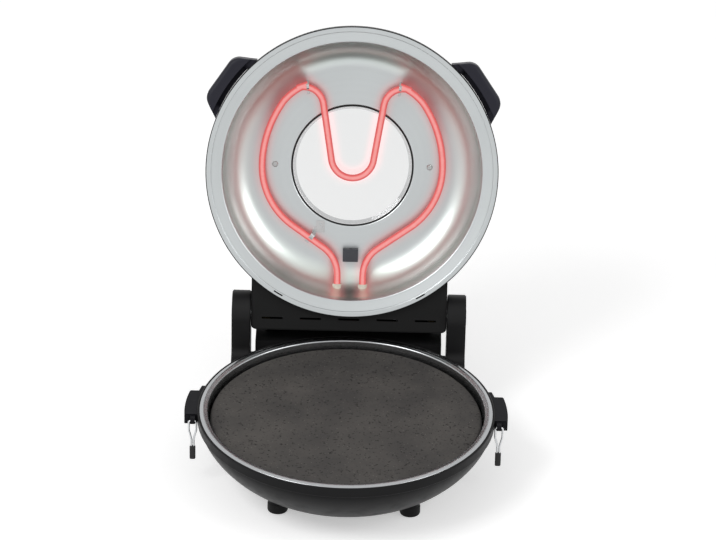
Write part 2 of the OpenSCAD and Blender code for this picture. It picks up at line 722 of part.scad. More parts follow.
module window_gasket() color("#19191a") lid_place() translate([0, 0, glass_z + glass_t])
  turned([[window_r + 1.5, 0], [glass_r + 0.6, 0], [glass_r + 0.6, 1], [window_r + 1.5, 1]]);

// Bright cone between the liner's opening and the glass
cone_r = window_r - 5;
module window_ring() color("#d4d5d6") lid_place() turned([
  [cone_r, glass_z], [window_r - 1.6, plate_d + 0.4], [window_r - 0.8, plate_d + 0.4],
  [window_r - 0.8, plate_d + 5], [glass_r, glass_z - 1.2], [glass_r, glass_z]]);

module window_seal() color("#19191a") lid_place() turned([
  [window_r - 0.75, plate_d + 0.2], [window_r - 0.05, plate_d + 0.2],
  [window_r - 0.05, plate_d + 2.6], [window_r - 0.75, plate_d + 2.6]]);

module window_trim() color("#1d1d1e") lid_place() translate([0, 0, lid_h])
  turned([[window_r - 2.5, -1.5], [window_r + 1.4, -1.5], [window_r + 1.4, 0.05], [window_r + 12, 0.05],
    [window_r + 12, 1], [window_r + 9, 2.6], [window_r + 1, 2.6], [window_r - 2.5, 0]]);

// Lid: upper heating tube, bent like a heart with a deep dip at the front

upper_half = [[end_x, wall_r + 8, 0], [end_x, 102.4, 20], [109.5, 35.2, 80],
  [109.5, -66.3, 70], [37.8, -103.2, 14], [0, 94.3, 18.8]];
upper_path = concat(upper_half, [for (i = [0:len(upper_half) - 2]) mirrored(upper_half)[i + 1]]);

module upper_element() color("#d9403a") lid_place() translate([0, 0, upper_d])
  bent_bar(upper_path, tube_d);

// Straps that hang the tube from the plate at the tops of its two front bends
module upper_element_straps() color("#d9d9d6") lid_place() both_sides() {
  lobe = bend_centre(upper_path, 4);
  translate([lobe[0], lobe[1], upper_d]) rotate(-85) translate([upper_path[4][2], 0, 0])
    rotate([0, 180, 0]) strap(plate_d - upper_d - clear, 3, left_foot = 1.5);
}

// A third strap on the left, with a drilled ear on the plate beside it
module upper_element_tab() color("#c9cac6") lid_place() mirror([1, 0, 0]) {
  a = flat(upper_half[1]);
  b = flat(upper_half[2]);
  place = a + 0.33 * (b - a);
  translate([place[0], place[1], upper_d]) rotate([0, 180, atan2(b[1] - a[1], b[0] - a[0]) - 90])
    strap(plate_d - upper_d - 0.05, 5);
  translate([place[0] - 10, place[1] - 10, plate_d - 1.25]) difference() {
    translate([-5, -7, 0]) cube([10, 14, 1.2]);
    translate([0, -3, -over]) cylinder(h = 5, r = 1.3);
  }
}

module upper_element_seals() color("#d8d2c4") lid_place() both_sides()
  translate([end_x, 0, upper_d]) tube_seal(wall_r - 11, wall_r, wall_r - 2.6);

// Dark block between the tube's ends that holds the thermostat's feeler
module sensor_block() color("#4c4d4f") lid_place() translate([0, plate_r, 0]) difference() {
  translate([-9, -14, plate_d - 12 - clear]) cube([18, 15, 12]);
  translate([0, 0, plate_d - 7]) bar_y(-14 - over, 1 + over, 2);
}

// Lid: handles

// Radial screw places of a handle that points along +X
handle_screw_r = screw_r - 0.2;
handle_screw_h = 8.3;
module handle_screw_spots() for (a = [-11, 11])
  rotate(a) translate([lid_r, 0, handle_screw_h]) children();
module handle_screw_places() both_sides() rotate(handle_angle - 90) handle_screw_spots() children();

handle_inner = 42;
handle_outer = 31.5;
handle_low = 3;
grip_half = 26;

// Outline of a handle that points along +X: wide at the lid, straight outside, round corners
module handle_outline(g) difference() {
  union() {
    polygon([[140, -handle_inner + g], [lid_r - 7, -handle_inner + g],
      [handle_r - 7 - g, -handle_outer - 3.5 + g], [handle_r - g, -handle_outer + 8],
      [handle_r - g, handle_outer - 8],
      [handle_r - 7 - g, handle_outer + 3.5 - g], [lid_r - 7, handle_inner - g], [140, handle_inner - g]]);
    for (s = [-1, 1]) translate([handle_r - 11 - g, s * (handle_outer - 6 - g)]) circle(11);
  }
  circle(lid_r + 0.1);
}

module handle() rotate(handle_angle - 90) difference() {
  union() {
    translate([0, 0, handle_low + 2]) linear_extrude(handle_t - 4) handle_outline(0);
    translate([0, 0, handle_low]) linear_extrude(handle_t) handle_outline(2);
  }
  // Finger recess between the lip and the lid, open towards the mouth
  translate([0, 0, handle_low - over]) linear_extrude(11 + over) intersection() {
    difference() {
      translate([lid_r - 12, -grip_half]) square([handle_r - lid_r + 6.5, 2 * grip_half]);
      circle(lid_r + 2.5);
    }
    handle_outline(5);
  }
  handle_screw_spots() bar_x(-3, 8, handle_screw_r);
}

module lid_handle_right() color("#2b2b33") lid_place() handle();
module lid_handle_left() color("#2b2b33") lid_place() mirror([1, 0, 0]) handle();

module handle_screws() color("#8d8f92") lid_place() handle_screw_places()
  translate([-shell_t - 0.1, 0, 0]) rotate([0, -90, 0]) screw(8, handle_screw_r, 1.6);

// Lid: rear housing with vent slots in its underside, and its cover

// Outline of the housing from above, cut to the shell by the caller
module housing_outline(g) translate([0, 110]) soft_square([2 * (housing_x - g), housing_y - 110 - g], 6);

housing_wall_h = housing_h - cover_t;
slot_pitch = 44.9;
slot_y = hinge_y + 3.1;

module lid_housing() color("#29292a") lid_place() difference() {
  union() {
    translate([0, 0, housing_lift + 1.5]) linear_extrude(housing_wall_h - 1.5) housing_outline(0);
    translate([0, 0, housing_lift]) linear_extrude(housing_wall_h) housing_outline(1.5);
  }
  difference() {
    translate([0, 0, housing_lift + housing_t]) linear_extrude(housing_h) housing_outline(housing_t);
    // Blocks at the sides that hold the hinge bushes
    both_sides() translate([housing_x - 22, hinge_y - 13, 0]) cube([30, 40, hinge_z - mouth_z + 13]);
    cover_screw_places() translate([0, 0, -40]) cylinder(h = 40, r = 4);
  }
  shell_space(0.1, low = -5);
  for (i = [0:slot_n - 1]) translate([(i - (slot_n - 1) / 2) * slot_pitch, slot_y - slot_w / 2, 0])
    soft_box([slot_l, slot_w, 20], slot_w / 2 - 0.1);
  both_sides() translate([0, hinge_y, hinge_z - mouth_z]) bar_x(housing_x - 30, housing_x + 5, pin_r + 2);
  cover_screw_places() translate([0, 0, -12]) cylinder(h = 13, r = screw_r);
}

module cover_screw_places() for (x = [-100, 100], y = [hinge_y - 4])
  translate([x, y, housing_lift + housing_wall_h]) children();

control_y = hinge_y - 2;
lamp_x = [-72, -54];
module housing_cover() color("#29292a") lid_place() difference() {
  translate([0, 0, housing_lift + housing_wall_h + 0.05]) union() {
    linear_extrude(cover_t - 1.5) housing_outline(0);
    linear_extrude(cover_t) housing_outline(1.5);
    translate([knob_x, control_y, cover_t - 1]) cylinder(h = 2, r = knob_r + 2.5);
  }
  shell_space(0.1, low = -5);
  translate([knob_x, control_y, 0]) cylinder(h = 90, r = 4.05);
  for (x = lamp_x) translate([x, control_y, 0]) cylinder(h = 90, r = 4.05);
  cover_screw_places() cylinder(h = 40, r = screw_r + 0.2);
}

module cover_screws() color("#8d8f92") lid_place() cover_screw_places()
  translate([0, 0, cover_t + 0.05]) screw(13);

// Bushes that turn on the hinge pins
module hinge_bush() translate([0, hinge_y, hinge_z - mouth_z]) difference() {
  union() {
    bar_x(housing_x - 20, housing_x, pin_r + 1.95);
    bar_x(housing_x - 24, housing_x - 22.05, pin_r + 3.5);
    bar_x(housing_x - 23, housing_x - 19, pin_r + 1.95);
  }
  bar_x(housing_x - 30, housing_x + 5, pin_r + pin_play);
}
module hinge_bush_right() color("#b59a5c") lid_place() hinge_bush();
module hinge_bush_left() color("#b59a5c") lid_place() mirror([1, 0, 0]) hinge_bush();

// Lid: controls

shaft_r = 3;
shaft_deep = 10;
shaft_l = shaft_deep + cover_t + 11;
blade_x = 6;
blade_y = 3.6;
stat_top = housing_lift + housing_wall_h;
module thermostat() color("#c8c8c4") lid_place() translate([knob_x, control_y, 0]) difference() {
  union() {
    translate([0, 0, stat_top - 18]) cylinder(h = 18, r = 13);
    translate([0, 0, stat_top - 1]) cylinder(h = cover_t + 1.6, r = 4);
    for (x = [-blade_x, blade_x]) translate([x - 2.5, blade_y - 0.4, stat_top - 26]) cube([5, 0.8, 9]);
  }
  translate([0, 0, stat_top - shaft_deep]) cylinder(h = shaft_deep + cover_t + 5, r = shaft_r + 0.05);
}

// Spindle that turns in the thermostat, with a flat on the end that the knob sits on
flat_in = 0.8;
module thermostat_spindle() color("#b4b6b8") lid_place() translate([knob_x, control_y, knob_z]) difference() {
  translate([0, 0, stat_top - shaft_deep + clear - knob_z]) cylinder(h = shaft_l, r = shaft_r);
  translate([-5, shaft_r - flat_in, 1.5]) cube([10, 5, 20]);
}

module pilot_lamps() color("#c23b2e") lid_place() for (x = lamp_x) translate([x, control_y, 0])
  turned([[0, stat_top - 14], [4, stat_top - 14], [4, stat_top + cover_t + 0.1],
    [5.2, stat_top + cover_t + 0.1], [5.2, stat_top + cover_t + 1.2], [3.6, stat_top + cover_t + 2.6],
    [0, stat_top + cover_t + 3]]);

// From the thermostat's blades under the floor of the housing up to the tube's ends
module lid_wiring() color("#b8442f") lid_place() for (s = [1, -1]) {
  blade = knob_x - s * blade_x;
  level = housing_lift + 10 + s * 3;
  wire_y = control_y + blade_y;
  translate([0, wire_y, 0]) rotate([90, 0, 0])
    bent_bar([[blade, stat_top - 26.05, 0], [blade, level, 4], [s * end_x, level, 4],
      [s * end_x, upper_d, 0]], wire_d);
  translate([s * end_x, 0, upper_d]) {
    bar_y(wall_r + 8.05, wire_y, wire_d / 2);
    translate([0, wire_y, 0]) sphere(wire_d / 2 + 0.4);
  }
}

// Knob with finger flutes and a pointer rib
knob_z = stat_top + cover_t + 1.6;
module thermostat_knob() color("#1d1d1e") lid_place() translate([knob_x, control_y, knob_z]) difference() {
  union() {
    turned([[0, 0], [knob_r, 0], [knob_r, 2.5], [knob_r - 2.5, 4], [knob_r - 3.3, 12.5],
      [knob_r - 4.5, 14], [0, 14]]);
    translate([-1.1, 4, 13]) cube([2.2, knob_r - 9, 1.8]);
  }
  translate([0, 0, -over]) difference() {
    cylinder(h = 11, r = shaft_r + 0.05);
    translate([-5, shaft_r - flat_in + 0.05, 1.5 + over]) cube([10, 5, 20]);
  }
  for (a = [0:30:330]) rotate(a + 15) translate([knob_r + 1.2, 0, 4.2]) cylinder(h = 20, r = 3.4);
}

base_bowl();
base_tray();
tray_posts();
tray_screws();
baking_stone();
lower_element();
lower_element_clips();
lower_element_seals();
ear_left();
ear_right();
ear_screws();
leg_left();
leg_right();
leg_screws();
rear_box();
rear_cover();
rear_cover_screws();
cord_gland();
terminal_block();
thermal_fuse();
base_wiring();
hinge_pin_left();
hinge_pin_right();
front_feet();
rear_feet();
foot_screws();
lid_shell();
lid_liner();
liner_screws();
window_glass();
window_gasket();
window_ring();
window_seal();
window_trim();
upper_element();
upper_element_straps();
upper_element_tab();
upper_element_seals();
sensor_block();
lid_handle_left();
lid_handle_right();
handle_screws();
lid_housing();
housing_cover();
cover_screws();
hinge_bush_left();
hinge_bush_right();
thermostat();
pilot_lamps();
lid_wiring();
thermostat_spindle();
thermostat_knob();
bail_left();
bail_right();
bail_grip_left();
bail_grip_right();
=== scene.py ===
import json
import math

import bmesh
import bpy
import numpy as np
from mathutils import Matrix, Vector


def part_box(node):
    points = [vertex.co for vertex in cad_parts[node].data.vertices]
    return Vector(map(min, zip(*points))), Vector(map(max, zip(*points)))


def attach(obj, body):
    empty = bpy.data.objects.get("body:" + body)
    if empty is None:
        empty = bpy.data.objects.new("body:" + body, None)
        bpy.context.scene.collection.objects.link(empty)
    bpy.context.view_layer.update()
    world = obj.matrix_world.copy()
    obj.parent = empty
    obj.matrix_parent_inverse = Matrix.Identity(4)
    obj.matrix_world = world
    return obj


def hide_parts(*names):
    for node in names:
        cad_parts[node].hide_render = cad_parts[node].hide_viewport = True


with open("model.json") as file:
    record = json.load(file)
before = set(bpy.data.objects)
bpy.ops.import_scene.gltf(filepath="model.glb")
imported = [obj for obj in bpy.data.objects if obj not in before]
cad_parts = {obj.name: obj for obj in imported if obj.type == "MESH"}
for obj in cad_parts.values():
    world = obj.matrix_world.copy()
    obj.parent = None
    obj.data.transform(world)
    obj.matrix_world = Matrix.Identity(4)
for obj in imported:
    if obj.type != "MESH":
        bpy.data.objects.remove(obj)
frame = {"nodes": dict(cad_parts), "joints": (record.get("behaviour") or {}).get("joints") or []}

bpy.context.view_layer.update()

# The black dish is one deep-drawn steel pressing: a flat bottom, a swelling side and a straight band,
# sprayed with satin heat-proof enamel. Its rim turns in over the edge of the bright tray, and two
# short bosses for the front feet are welded below it.
DISH_RIM, DISH_EDGE, DISH_WALL = 86.0, 170.0, 2.0
DISH_BOTTOM, DISH_FLOOR = 105.0, 12.0
BAND = 11.5
low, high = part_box("base_bowl")
dish_middle = np.array([0.0, (low.y + high.y) / 2, 0.0])


def from_dish(places):
    """Millimetres from the dish's middle on the table, to metres in the frame."""
    return places / 1000 + dish_middle


def arc(middle, radius, start, end, steps=10):
    """Points middle + radius * (cos a, sin a), for a from start to end in degrees."""
    a = np.radians(np.linspace(start, end, steps + 1))
    return np.array(middle) + radius * np.stack([np.cos(a), np.sin(a)], 1)


def swelling(inner, outer, fullness, steps=48):
    """A quarter of the superellipse |u|^p + |v|^p = 1 between two points (r, h): level at the first,
    upright at the second."""
    t = 1 - (1 - np.linspace(0, 1, steps + 1)) ** 1.5
    across = (1 - (1 - t) ** fullness) ** (1 / fullness)
    inner, outer = np.array(inner), np.array(outer)
    return np.stack([inner[0] + (outer[0] - inner[0]) * across, inner[1] + (outer[1] - inner[1]) * t], 1)


def eased(line, radius, steps=4):
    """Each inner corner C of a line becomes the curve (1-t)^2 A + 2t(1-t) C + t^2 B, where A and B lie
    on its two sides, as far from C as the radius, or less where a side is short."""
    line = np.asarray(line, float)
    side = np.diff(line, axis=0)
    length = np.linalg.norm(side, axis=1)
    u = side / length[:, None]
    radius = np.broadcast_to(radius, len(line) - 2)
    back = np.minimum(radius, 0.45 * length[:-1])[:, None]
    ahead = np.minimum(radius, 0.45 * length[1:])[:, None]
    corner = line[1:-1]
    a, b = corner - u[:-1] * back, corner + u[1:] * ahead
    t = np.linspace(0, 1, steps + 1)[None, :, None]
    curve = (1 - t) ** 2 * a[:, None] + 2 * t * (1 - t) * corner[:, None] + t ** 2 * b[:, None]
    return np.concatenate([line[:1], curve.reshape(-1, line.shape[1]), line[-1:]])


def filled(line, step):
    """A line with more points on its long sides, at most one step apart along its length."""
    side = np.linalg.norm(np.diff(line, axis=0), axis=1)
    line = line[np.concatenate([[True], side > 1e-6])]
    side = np.linalg.norm(np.diff(line, axis=0), axis=1)
    place = np.concatenate([[0], np.cumsum(side)])
    even = np.linspace(0, place[-1], int(place[-1] / step) + 2)
    gap = np.abs(even[:, None] - place[None]).min(1)
    every = np.sort(np.concatenate([place, even[gap > step / 3]]))
    return np.stack([np.interp(every, place, line[:, k]) for k in range(line.shape[1])], 1)


def spun(line, steps=288):
    """A line of points (r, h) turned round the upright axis: (r sin a, -r cos a, h)."""
    a = np.linspace(0, 2 * math.pi, steps, endpoint=False)
    r, h = line[:, 0], line[:, 1]
    return np.stack([np.outer(np.sin(a), r), np.outer(-np.cos(a), r), np.broadcast_to(h, (steps, len(h)))], 2)


def beside(line, thickness):
    """The line of points (r, h) moved to its left by the thickness, each point along its own normal."""
    along = np.gradient(line, axis=0)
    along /= np.linalg.norm(along, axis=1)[:, None] + 1e-9
    return line + thickness * np.stack([-along[:, 1], along[:, 0]], 1)


def sheet_of(line, thickness):
    """The closed outline of a sheet on the left of a line."""
    return np.concatenate([line, beside(line, thickness)[::-1]])


def surface(name, body, grids, finish, stands_for=(), sharp=32, marks=None, keep=None):
    """One mesh piece from grids of points (m, n, 3) in metres. Each grid is (points, round, round),
    where the two flags close it along its first and its second way. Doubles at poles and seams are
    merged and the faces turned outwards. marks holds values for each point, keep a mask of faces."""
    places, faces, start = [], [], 0
    for points, wrap_u, wrap_v in grids:
        m, n = points.shape[:2]
        i, j = np.meshgrid(np.arange(m if wrap_u else m - 1), np.arange(n if wrap_v else n - 1),
                           indexing="ij")
        i2, j2 = (i + 1) % m, (j + 1) % n
        quads = np.stack([i * n + j, i2 * n + j, i2 * n + j2, i * n + j2], 2).reshape(-1, 4)
        faces.append(quads + start)
        places.append(points.reshape(-1, 3))
        start += m * n
    places, faces = np.concatenate(places), np.concatenate(faces)
    if keep is not None:
        faces = faces[keep(places[faces].mean(1))]
    mesh = bpy.data.meshes.new(name)
    mesh.from_pydata(places, [], faces)
    for mark, values in (marks or {}).items():
        layer = mesh.attributes.new(mark, "FLOAT_VECTOR" if values.ndim > 1 else "FLOAT", "POINT")
        layer.data.foreach_set("vector" if values.ndim > 1 else "value", values.astype(np.float32).ravel())
    form = bmesh.new()
    form.from_mesh(mesh)
    bmesh.ops.remove_doubles(form, verts=form.verts, dist=2e-6)
    bmesh.ops.recalc_face_normals(form, faces=form.faces)
    form.to_mesh(mesh)
    form.free()
    mesh.shade_smooth()
    mesh.set_sharp_from_angle(angle=math.radians(sharp))
    piece = bpy.data.objects.new(name, mesh)
    bpy.context.scene.collection.objects.link(piece)
    mesh.materials.append(finish.material)
    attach(piece, body)
    if stands_for:
        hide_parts(*stands_for)
    return piece


class Amount:
    """A number socket of a finish, so that +, -, * and ** between sockets and numbers are shader maths."""

    def __init__(self, finish, socket):
        self.finish, self.socket = finish, socket

    def maths(self, operation, *terms):
        return self.finish.node("ShaderNodeMath", {"operation": operation}, dict(enumerate(terms)))

    def __add__(self, other):
        return self.maths("ADD", self, other)

    def __sub__(self, other):
        return self.maths("SUBTRACT", self, other)

    def __rsub__(self, other):
        return self.maths("SUBTRACT", other, self)

    def __mul__(self, other):
        return self.maths("MULTIPLY", self, other)

    def __pow__(self, other):
        return self.maths("POWER", self, other)

    __radd__, __rmul__ = __add__, __mul__


class Finish:
    """A material, with its Principled shader and the nodes that feed it."""

    def __init__(self, name, plain=()):
        self.material = bpy.data.materials.new(name)
        self.material.use_nodes = True
        self.tree = self.material.node_tree
        self.shader = self.tree.nodes["Principled BSDF"]
        for socket, value in dict(plain).items():
            self.shader.inputs[socket].default_value = value

    def node(self, kind, settings, sockets, out=0):
        """A node of one kind, its settings made first, with a value or a link for each named socket."""
        made = self.tree.nodes.new(kind)
        for setting, value in settings.items():
            setattr(made, setting, value)
        for socket, value in sockets.items():
            if isinstance(value, Amount):
                self.tree.links.new(value.socket, made.inputs[socket])
            else:
                made.inputs[socket].default_value = value
        return Amount(self, made.outputs[out])

    def own_place(self, mark=None):
        """The piece's own coordinates, or the places that its points hold under a mark."""
        if mark:
            return self.node("ShaderNodeAttribute", {"attribute_name": mark}, {}, "Vector")
        return self.node("ShaderNodeTexCoord", {}, {}, "Object")

    def mark(self, name):
        """The number that the piece's points hold under a name."""
        return self.node("ShaderNodeAttribute", {"attribute_name": name}, {}, "Fac")

    def noise(self, place, scale, detail=3.0, roughness=0.5):
        return self.node("ShaderNodeTexNoise", {}, {"Vector": place, "Scale": scale, "Detail": detail,
                                                     "Roughness": roughness}, "Fac")

    def between(self, amount, low, high):
        """0 below low, 1 above high, and a straight rise between them."""
        return self.node("ShaderNodeMapRange", {}, {"Value": amount, "From Min": low, "From Max": high})

    def tint(self, amount, one, two):
        """The first colour where the amount is 0, the second where it is 1."""
        one, two = [(*c, 1.0) if isinstance(c, tuple) else c for c in (one, two)]
        return self.node("ShaderNodeMix", {"data_type": "RGBA"}, {0: amount, 6: one, 7: two}, 2)

    def feed(self, **links):
        """Links amounts to the shader's sockets, named with _ for a space."""
        for socket, value in links.items():
            self.tree.links.new(value.socket, self.shader.inputs[socket.replace("_", " ")])

    def relief(self, height, depth):
        """A bump of this depth in metres, from a height."""
        self.feed(Normal=self.node("ShaderNodeBump", {}, {"Height": height, "Distance": depth}))


def shade(colour, by):
    """A colour made darker or lighter by a factor."""
    return tuple(min(1.0, c * by) for c in colour)


def painted(name, colour, rough, gloss, peel=2.5e-5):
    """Sprayed enamel: an even coat with faint orange peel, a little cloudiness and some dust-dull spots."""
    finish = Finish(name, {"Specular IOR Level": gloss})
    place = finish.own_place()
    cloud = finish.noise(place, 14.0, 3.0)
    dull = finish.between(finish.noise(place, 60.0, 4.0, 0.6), 0.45, 0.75)
    finish.feed(Base_Color=finish.tint(cloud, shade(colour, 0.82), shade(colour, 1.25)),
                Roughness=rough + 0.1 * dull + 0.06 * (cloud - 0.5))
    finish.relief(finish.noise(place, 650.0, 2.0), peel)
    return finish


black_enamel = painted("black_enamel", (0.0102, 0.0102, 0.0107), 0.38, 0.09)
DISH_SWELL, DISH_INNER = 1.45, DISH_EDGE - DISH_WALL
LIP, LIP_LOW, LIP_INNER, LIP_UNDER = 167.9, 84.7, 162.6, 83.2
swell = swelling((DISH_BOTTOM, DISH_FLOOR), (DISH_EDGE - 2.5, DISH_RIM - BAND - 1.5), DISH_SWELL)
bowl_side = np.concatenate([swell, [[DISH_EDGE, DISH_RIM - BAND], [DISH_EDGE, DISH_RIM - 0.8]]])
bowl_rim = [[DISH_EDGE - 0.8, DISH_RIM], [LIP, DISH_RIM], [LIP, LIP_LOW], [LIP_INNER, LIP_LOW],
            [LIP_INNER, LIP_UNDER], [DISH_INNER, LIP_UNDER - 0.8]]
rolled_rim = eased(np.concatenate([bowl_side[-3:], bowl_rim]), 0.7)[1:]
bowl_inside = beside(bowl_side[:-2], DISH_WALL)[::-1]
bowl_line = filled(np.concatenate([[[0, DISH_FLOOR]], bowl_side[:-2], rolled_rim, [[DISH_INNER, 74]],
                                   bowl_inside, [[0, DISH_FLOOR + DISH_WALL]]]), 3.0)
BOSS, BOSS_LOW, BOSS_HIGH, BOSS_X, BOSS_Y = 11.0, 11.9, 24.0, 75.0, -80.0
boss_line = filled(eased([[0, BOSS_LOW], [BOSS - 0.4, BOSS_LOW], [BOSS, BOSS_LOW + 0.4], [BOSS, BOSS_HIGH],
                          [0, BOSS_HIGH]], 0.3), 2.0)
boss = spun(boss_line, 64)
bosses = [(from_dish(boss + np.array([x, BOSS_Y, 0.0])), True, False) for x in (-BOSS_X, BOSS_X)]
surface("dish", "base", [(from_dish(spun(bowl_line)), True, False)] + bosses, black_enamel,
        ["base_bowl"])

# The tray is a bright stainless pressing that drops into the dish: a crowned ring round the edge,
# a steep wall, a ledge for the stone and a shallow well for the heater. It is polished on a lathe,
# so its fine lines run round it, and three hidden posts and screws hold it.
RING_OUT, RING_IN, CROWN = 167.6, 159.6, 1.4
LEDGE, LEDGE_IN, WELL, WELL_FOOT, TRAY_SHEET = 65.0, 149.5, 50.0, 139.5, 0.8
crown_half = (RING_OUT - RING_IN) / 2 - 1.4
crown_radius = (crown_half ** 2 + (CROWN / 2) ** 2) / CROWN
crown_angle = 90 - math.degrees(math.asin(crown_half / crown_radius))


def steel(name, colour, rough, tint=None):
    """Polished sheet steel: noise on the distance from the axis gives its fine turned lines, a wide
    noise its smears, and a stretched one the faint clouds of the rolled sheet."""
    finish = Finish(name, {"Metallic": 1.0})
    place = finish.own_place("turned")
    apart = finish.node("ShaderNodeSeparateXYZ", {}, {0: place})
    height = Amount(finish, apart.socket.node.outputs["Z"])
    x, y = apart, Amount(finish, apart.socket.node.outputs["Y"])
    reach = (x * x + y * y) ** 0.5
    on_lathe = finish.node("ShaderNodeCombineXYZ", {}, {"X": reach, "Y": height})
    fine = finish.noise(on_lathe, 1400.0, 3.0, 0.7)
    coarse = finish.noise(on_lathe, 190.0, 2.0)
    smear = finish.noise(place, 11.0, 4.0, 0.6)
    spot = finish.noise(place, 90.0, 3.0)
    worn = finish.tint(0.55 * smear + 0.45 * coarse, shade(colour, 0.93), shade(colour, 1.07))
    if tint:
        worn = tint(finish, worn)
    finish.feed(Base_Color=worn,
                Roughness=rough + 0.07 * (smear - 0.4) + 0.05 * (fine - 0.5) + 0.03 * (spot - 0.5))
    finish.relief(fine * 0.8 + coarse * 0.5, 6e-6)
    return finish


tray_line = np.concatenate([
    arc((RING_OUT - 1, DISH_RIM - 1), 1, 0, 60, 5),
    arc(((RING_OUT + RING_IN) / 2, DISH_RIM - crown_radius + CROWN / 2), crown_radius,
        crown_angle, 180 - crown_angle, 14),
    arc((RING_IN + 0.4, DISH_RIM - 2), 2, 120, 175, 6),
    arc((RING_IN - 5, LEDGE + 3), 3, 0, -90, 8),
    arc((LEDGE_IN, LEDGE - 2), 2, 90, 175, 8),
    arc((WELL_FOOT, WELL + 6), 6, -5, -90, 8),
    [[70, WELL], [0, WELL]]])
tray_points = from_dish(spun(filled(sheet_of(tray_line, TRAY_SHEET), 2.5), 320))
tray_steel = steel("tray_steel", (0.42, 0.43, 0.44), 0.24)
surface("tray", "base", [(tray_points, True, False)], tray_steel, ["base_tray"],
        marks={"turned": (tray_points - dish_middle).reshape(-1, 3)})


def metal(name, colour, rough, relief=1.5e-5, scale=900.0):
    """Plain or plated metal on small parts: cloudy colour, small dull spots and a fine drawn grain."""
    finish = Finish(name, {"Metallic": 1.0})
    place = finish.own_place()
    cloud = finish.noise(place, 70.0, 3.0)
    finish.feed(Base_Color=finish.tint(cloud, shade(colour, 0.8), shade(colour, 1.15)),
                Roughness=rough + 0.2 * (finish.noise(place, 240.0, 4.0, 0.6) - 0.45))
    finish.relief(finish.noise(place, scale, 3.0), relief)
    return finish


def dress(finish, *names):
    """A CAD node keeps its mesh and gets a finish in each of its material slots."""
    for name in names:
        for place in frame["nodes"][name].material_slots:
            place.material = finish.material


screw_steel = metal("screw_steel", (0.36, 0.37, 0.38), 0.3)
dress(screw_steel, "tray_screws", "tray_posts", "ear_screws", "leg_screws", "rear_cover_screws",
      "foot_screws", "handle_screws", "cover_screws")

# The baking stone is a round slab of fired cordierite. It is pressed from coarse clay, so it is full
# of light and dark grains and small pores, and baking has darkened its face unevenly.
STONE, STONE_LOW, STONE_THICK = 155.0, 65.0, 12.0
stone_finish = Finish("baked_stone", {"Specular IOR Level": 0.25})
place = stone_finish.own_place()
grain = stone_finish.node("ShaderNodeTexVoronoi", {}, {"Vector": place, "Scale": 520.0}, "Distance")
specks = stone_finish.node("ShaderNodeTexVoronoi", {}, {"Vector": place, "Scale": 210.0}, "Distance")
scorch = stone_finish.noise(place, 16.0, 4.0, 0.6)
pores = stone_finish.between(stone_finish.noise(place, 330.0, 2.0), 0.6, 0.68)
light_grain = stone_finish.between(specks, 0.16, 0.05)
baked = stone_finish.tint(stone_finish.between(scorch, 0.35, 0.7), (0.052, 0.049, 0.047),
                          (0.084, 0.078, 0.072))
baked = stone_finish.tint(light_grain * 0.55, baked, (0.2, 0.185, 0.165))
baked = stone_finish.tint(pores, baked, (0.022, 0.02, 0.019))
stone_finish.feed(Base_Color=baked, Roughness=0.8 - 0.12 * light_grain)
stone_finish.relief(grain * 0.5 + scorch * 0.3 - pores, 1.6e-4)
stone_line = filled(eased([[0, STONE_LOW], [STONE - 1.2, STONE_LOW], [STONE, STONE_LOW + 1.2],
                           [STONE, STONE_LOW + STONE_THICK - 1.8], [STONE - 1.8, STONE_LOW + STONE_THICK],
                           [0, STONE_LOW + STONE_THICK]], 0.8), 4.0)
surface("stone", "base", [(from_dish(spun(stone_line)), True, False)], stone_finish,
        ["baking_stone"])

# The lower heater is a sheathed tube that is bent to a ring under the stone. Heat has turned its
# sheath grey and brown. Steel straps hold it, and ceramic beads carry its ends through the wall.
sheath = metal("heated_sheath", (0.13, 0.115, 0.105), 0.46, 3e-5, 500.0)
strap_steel = metal("strap_steel", (0.5, 0.5, 0.5), 0.28)


def ceramic(name, colour):
    """Unglazed or thinly glazed ceramic: chalky, with fine pits and a few grey stains."""
    finish = Finish(name, {"Specular IOR Level": 0.4})
    place = finish.own_place()
    stain = finish.between(finish.noise(place, 55.0, 4.0, 0.6), 0.5, 0.8)
    finish.feed(Base_Color=finish.tint(stain, colour, shade(colour, 0.72)), Roughness=0.5 + 0.15 * stain)
    finish.relief(finish.noise(place, 1300.0, 3.0), 4e-5)
    return finish


bead_ceramic = ceramic("bead_ceramic", (0.66, 0.62, 0.53))
dress(sheath, "lower_element")
dress(strap_steel, "lower_element_clips", "thermal_fuse")
dress(bead_ceramic, "lower_element_seals", "upper_element_seals", "terminal_block")

# The carrying ears are black moulded plates that are screwed on through the dish's band, with a
# finger groove below. Each has a small lug in front that holds a bail of bright spring wire,
# and a black sleeve is pushed over the wire's two ends.


def moulded(name, colour, rough, gloss, grain=4e-5, scale=1100.0):
    """Moulded plastic: spark-eroded grain from the tool, faint flow clouds and a few rubbed places."""
    finish = Finish(name, {"Specular IOR Level": gloss})
    place = finish.own_place()
    cloud = finish.noise(place, 22.0, 3.0)
    rubbed = finish.between(finish.noise(place, 130.0, 5.0, 0.65), 0.58, 0.8)
    finish.feed(Base_Color=finish.tint(cloud, shade(colour, 0.85), shade(colour, 1.2)),
                Roughness=rough - 0.12 * rubbed + 0.05 * (cloud - 0.5))
    finish.relief(finish.noise(place, scale, 4.0, 0.6), grain)
    return finish


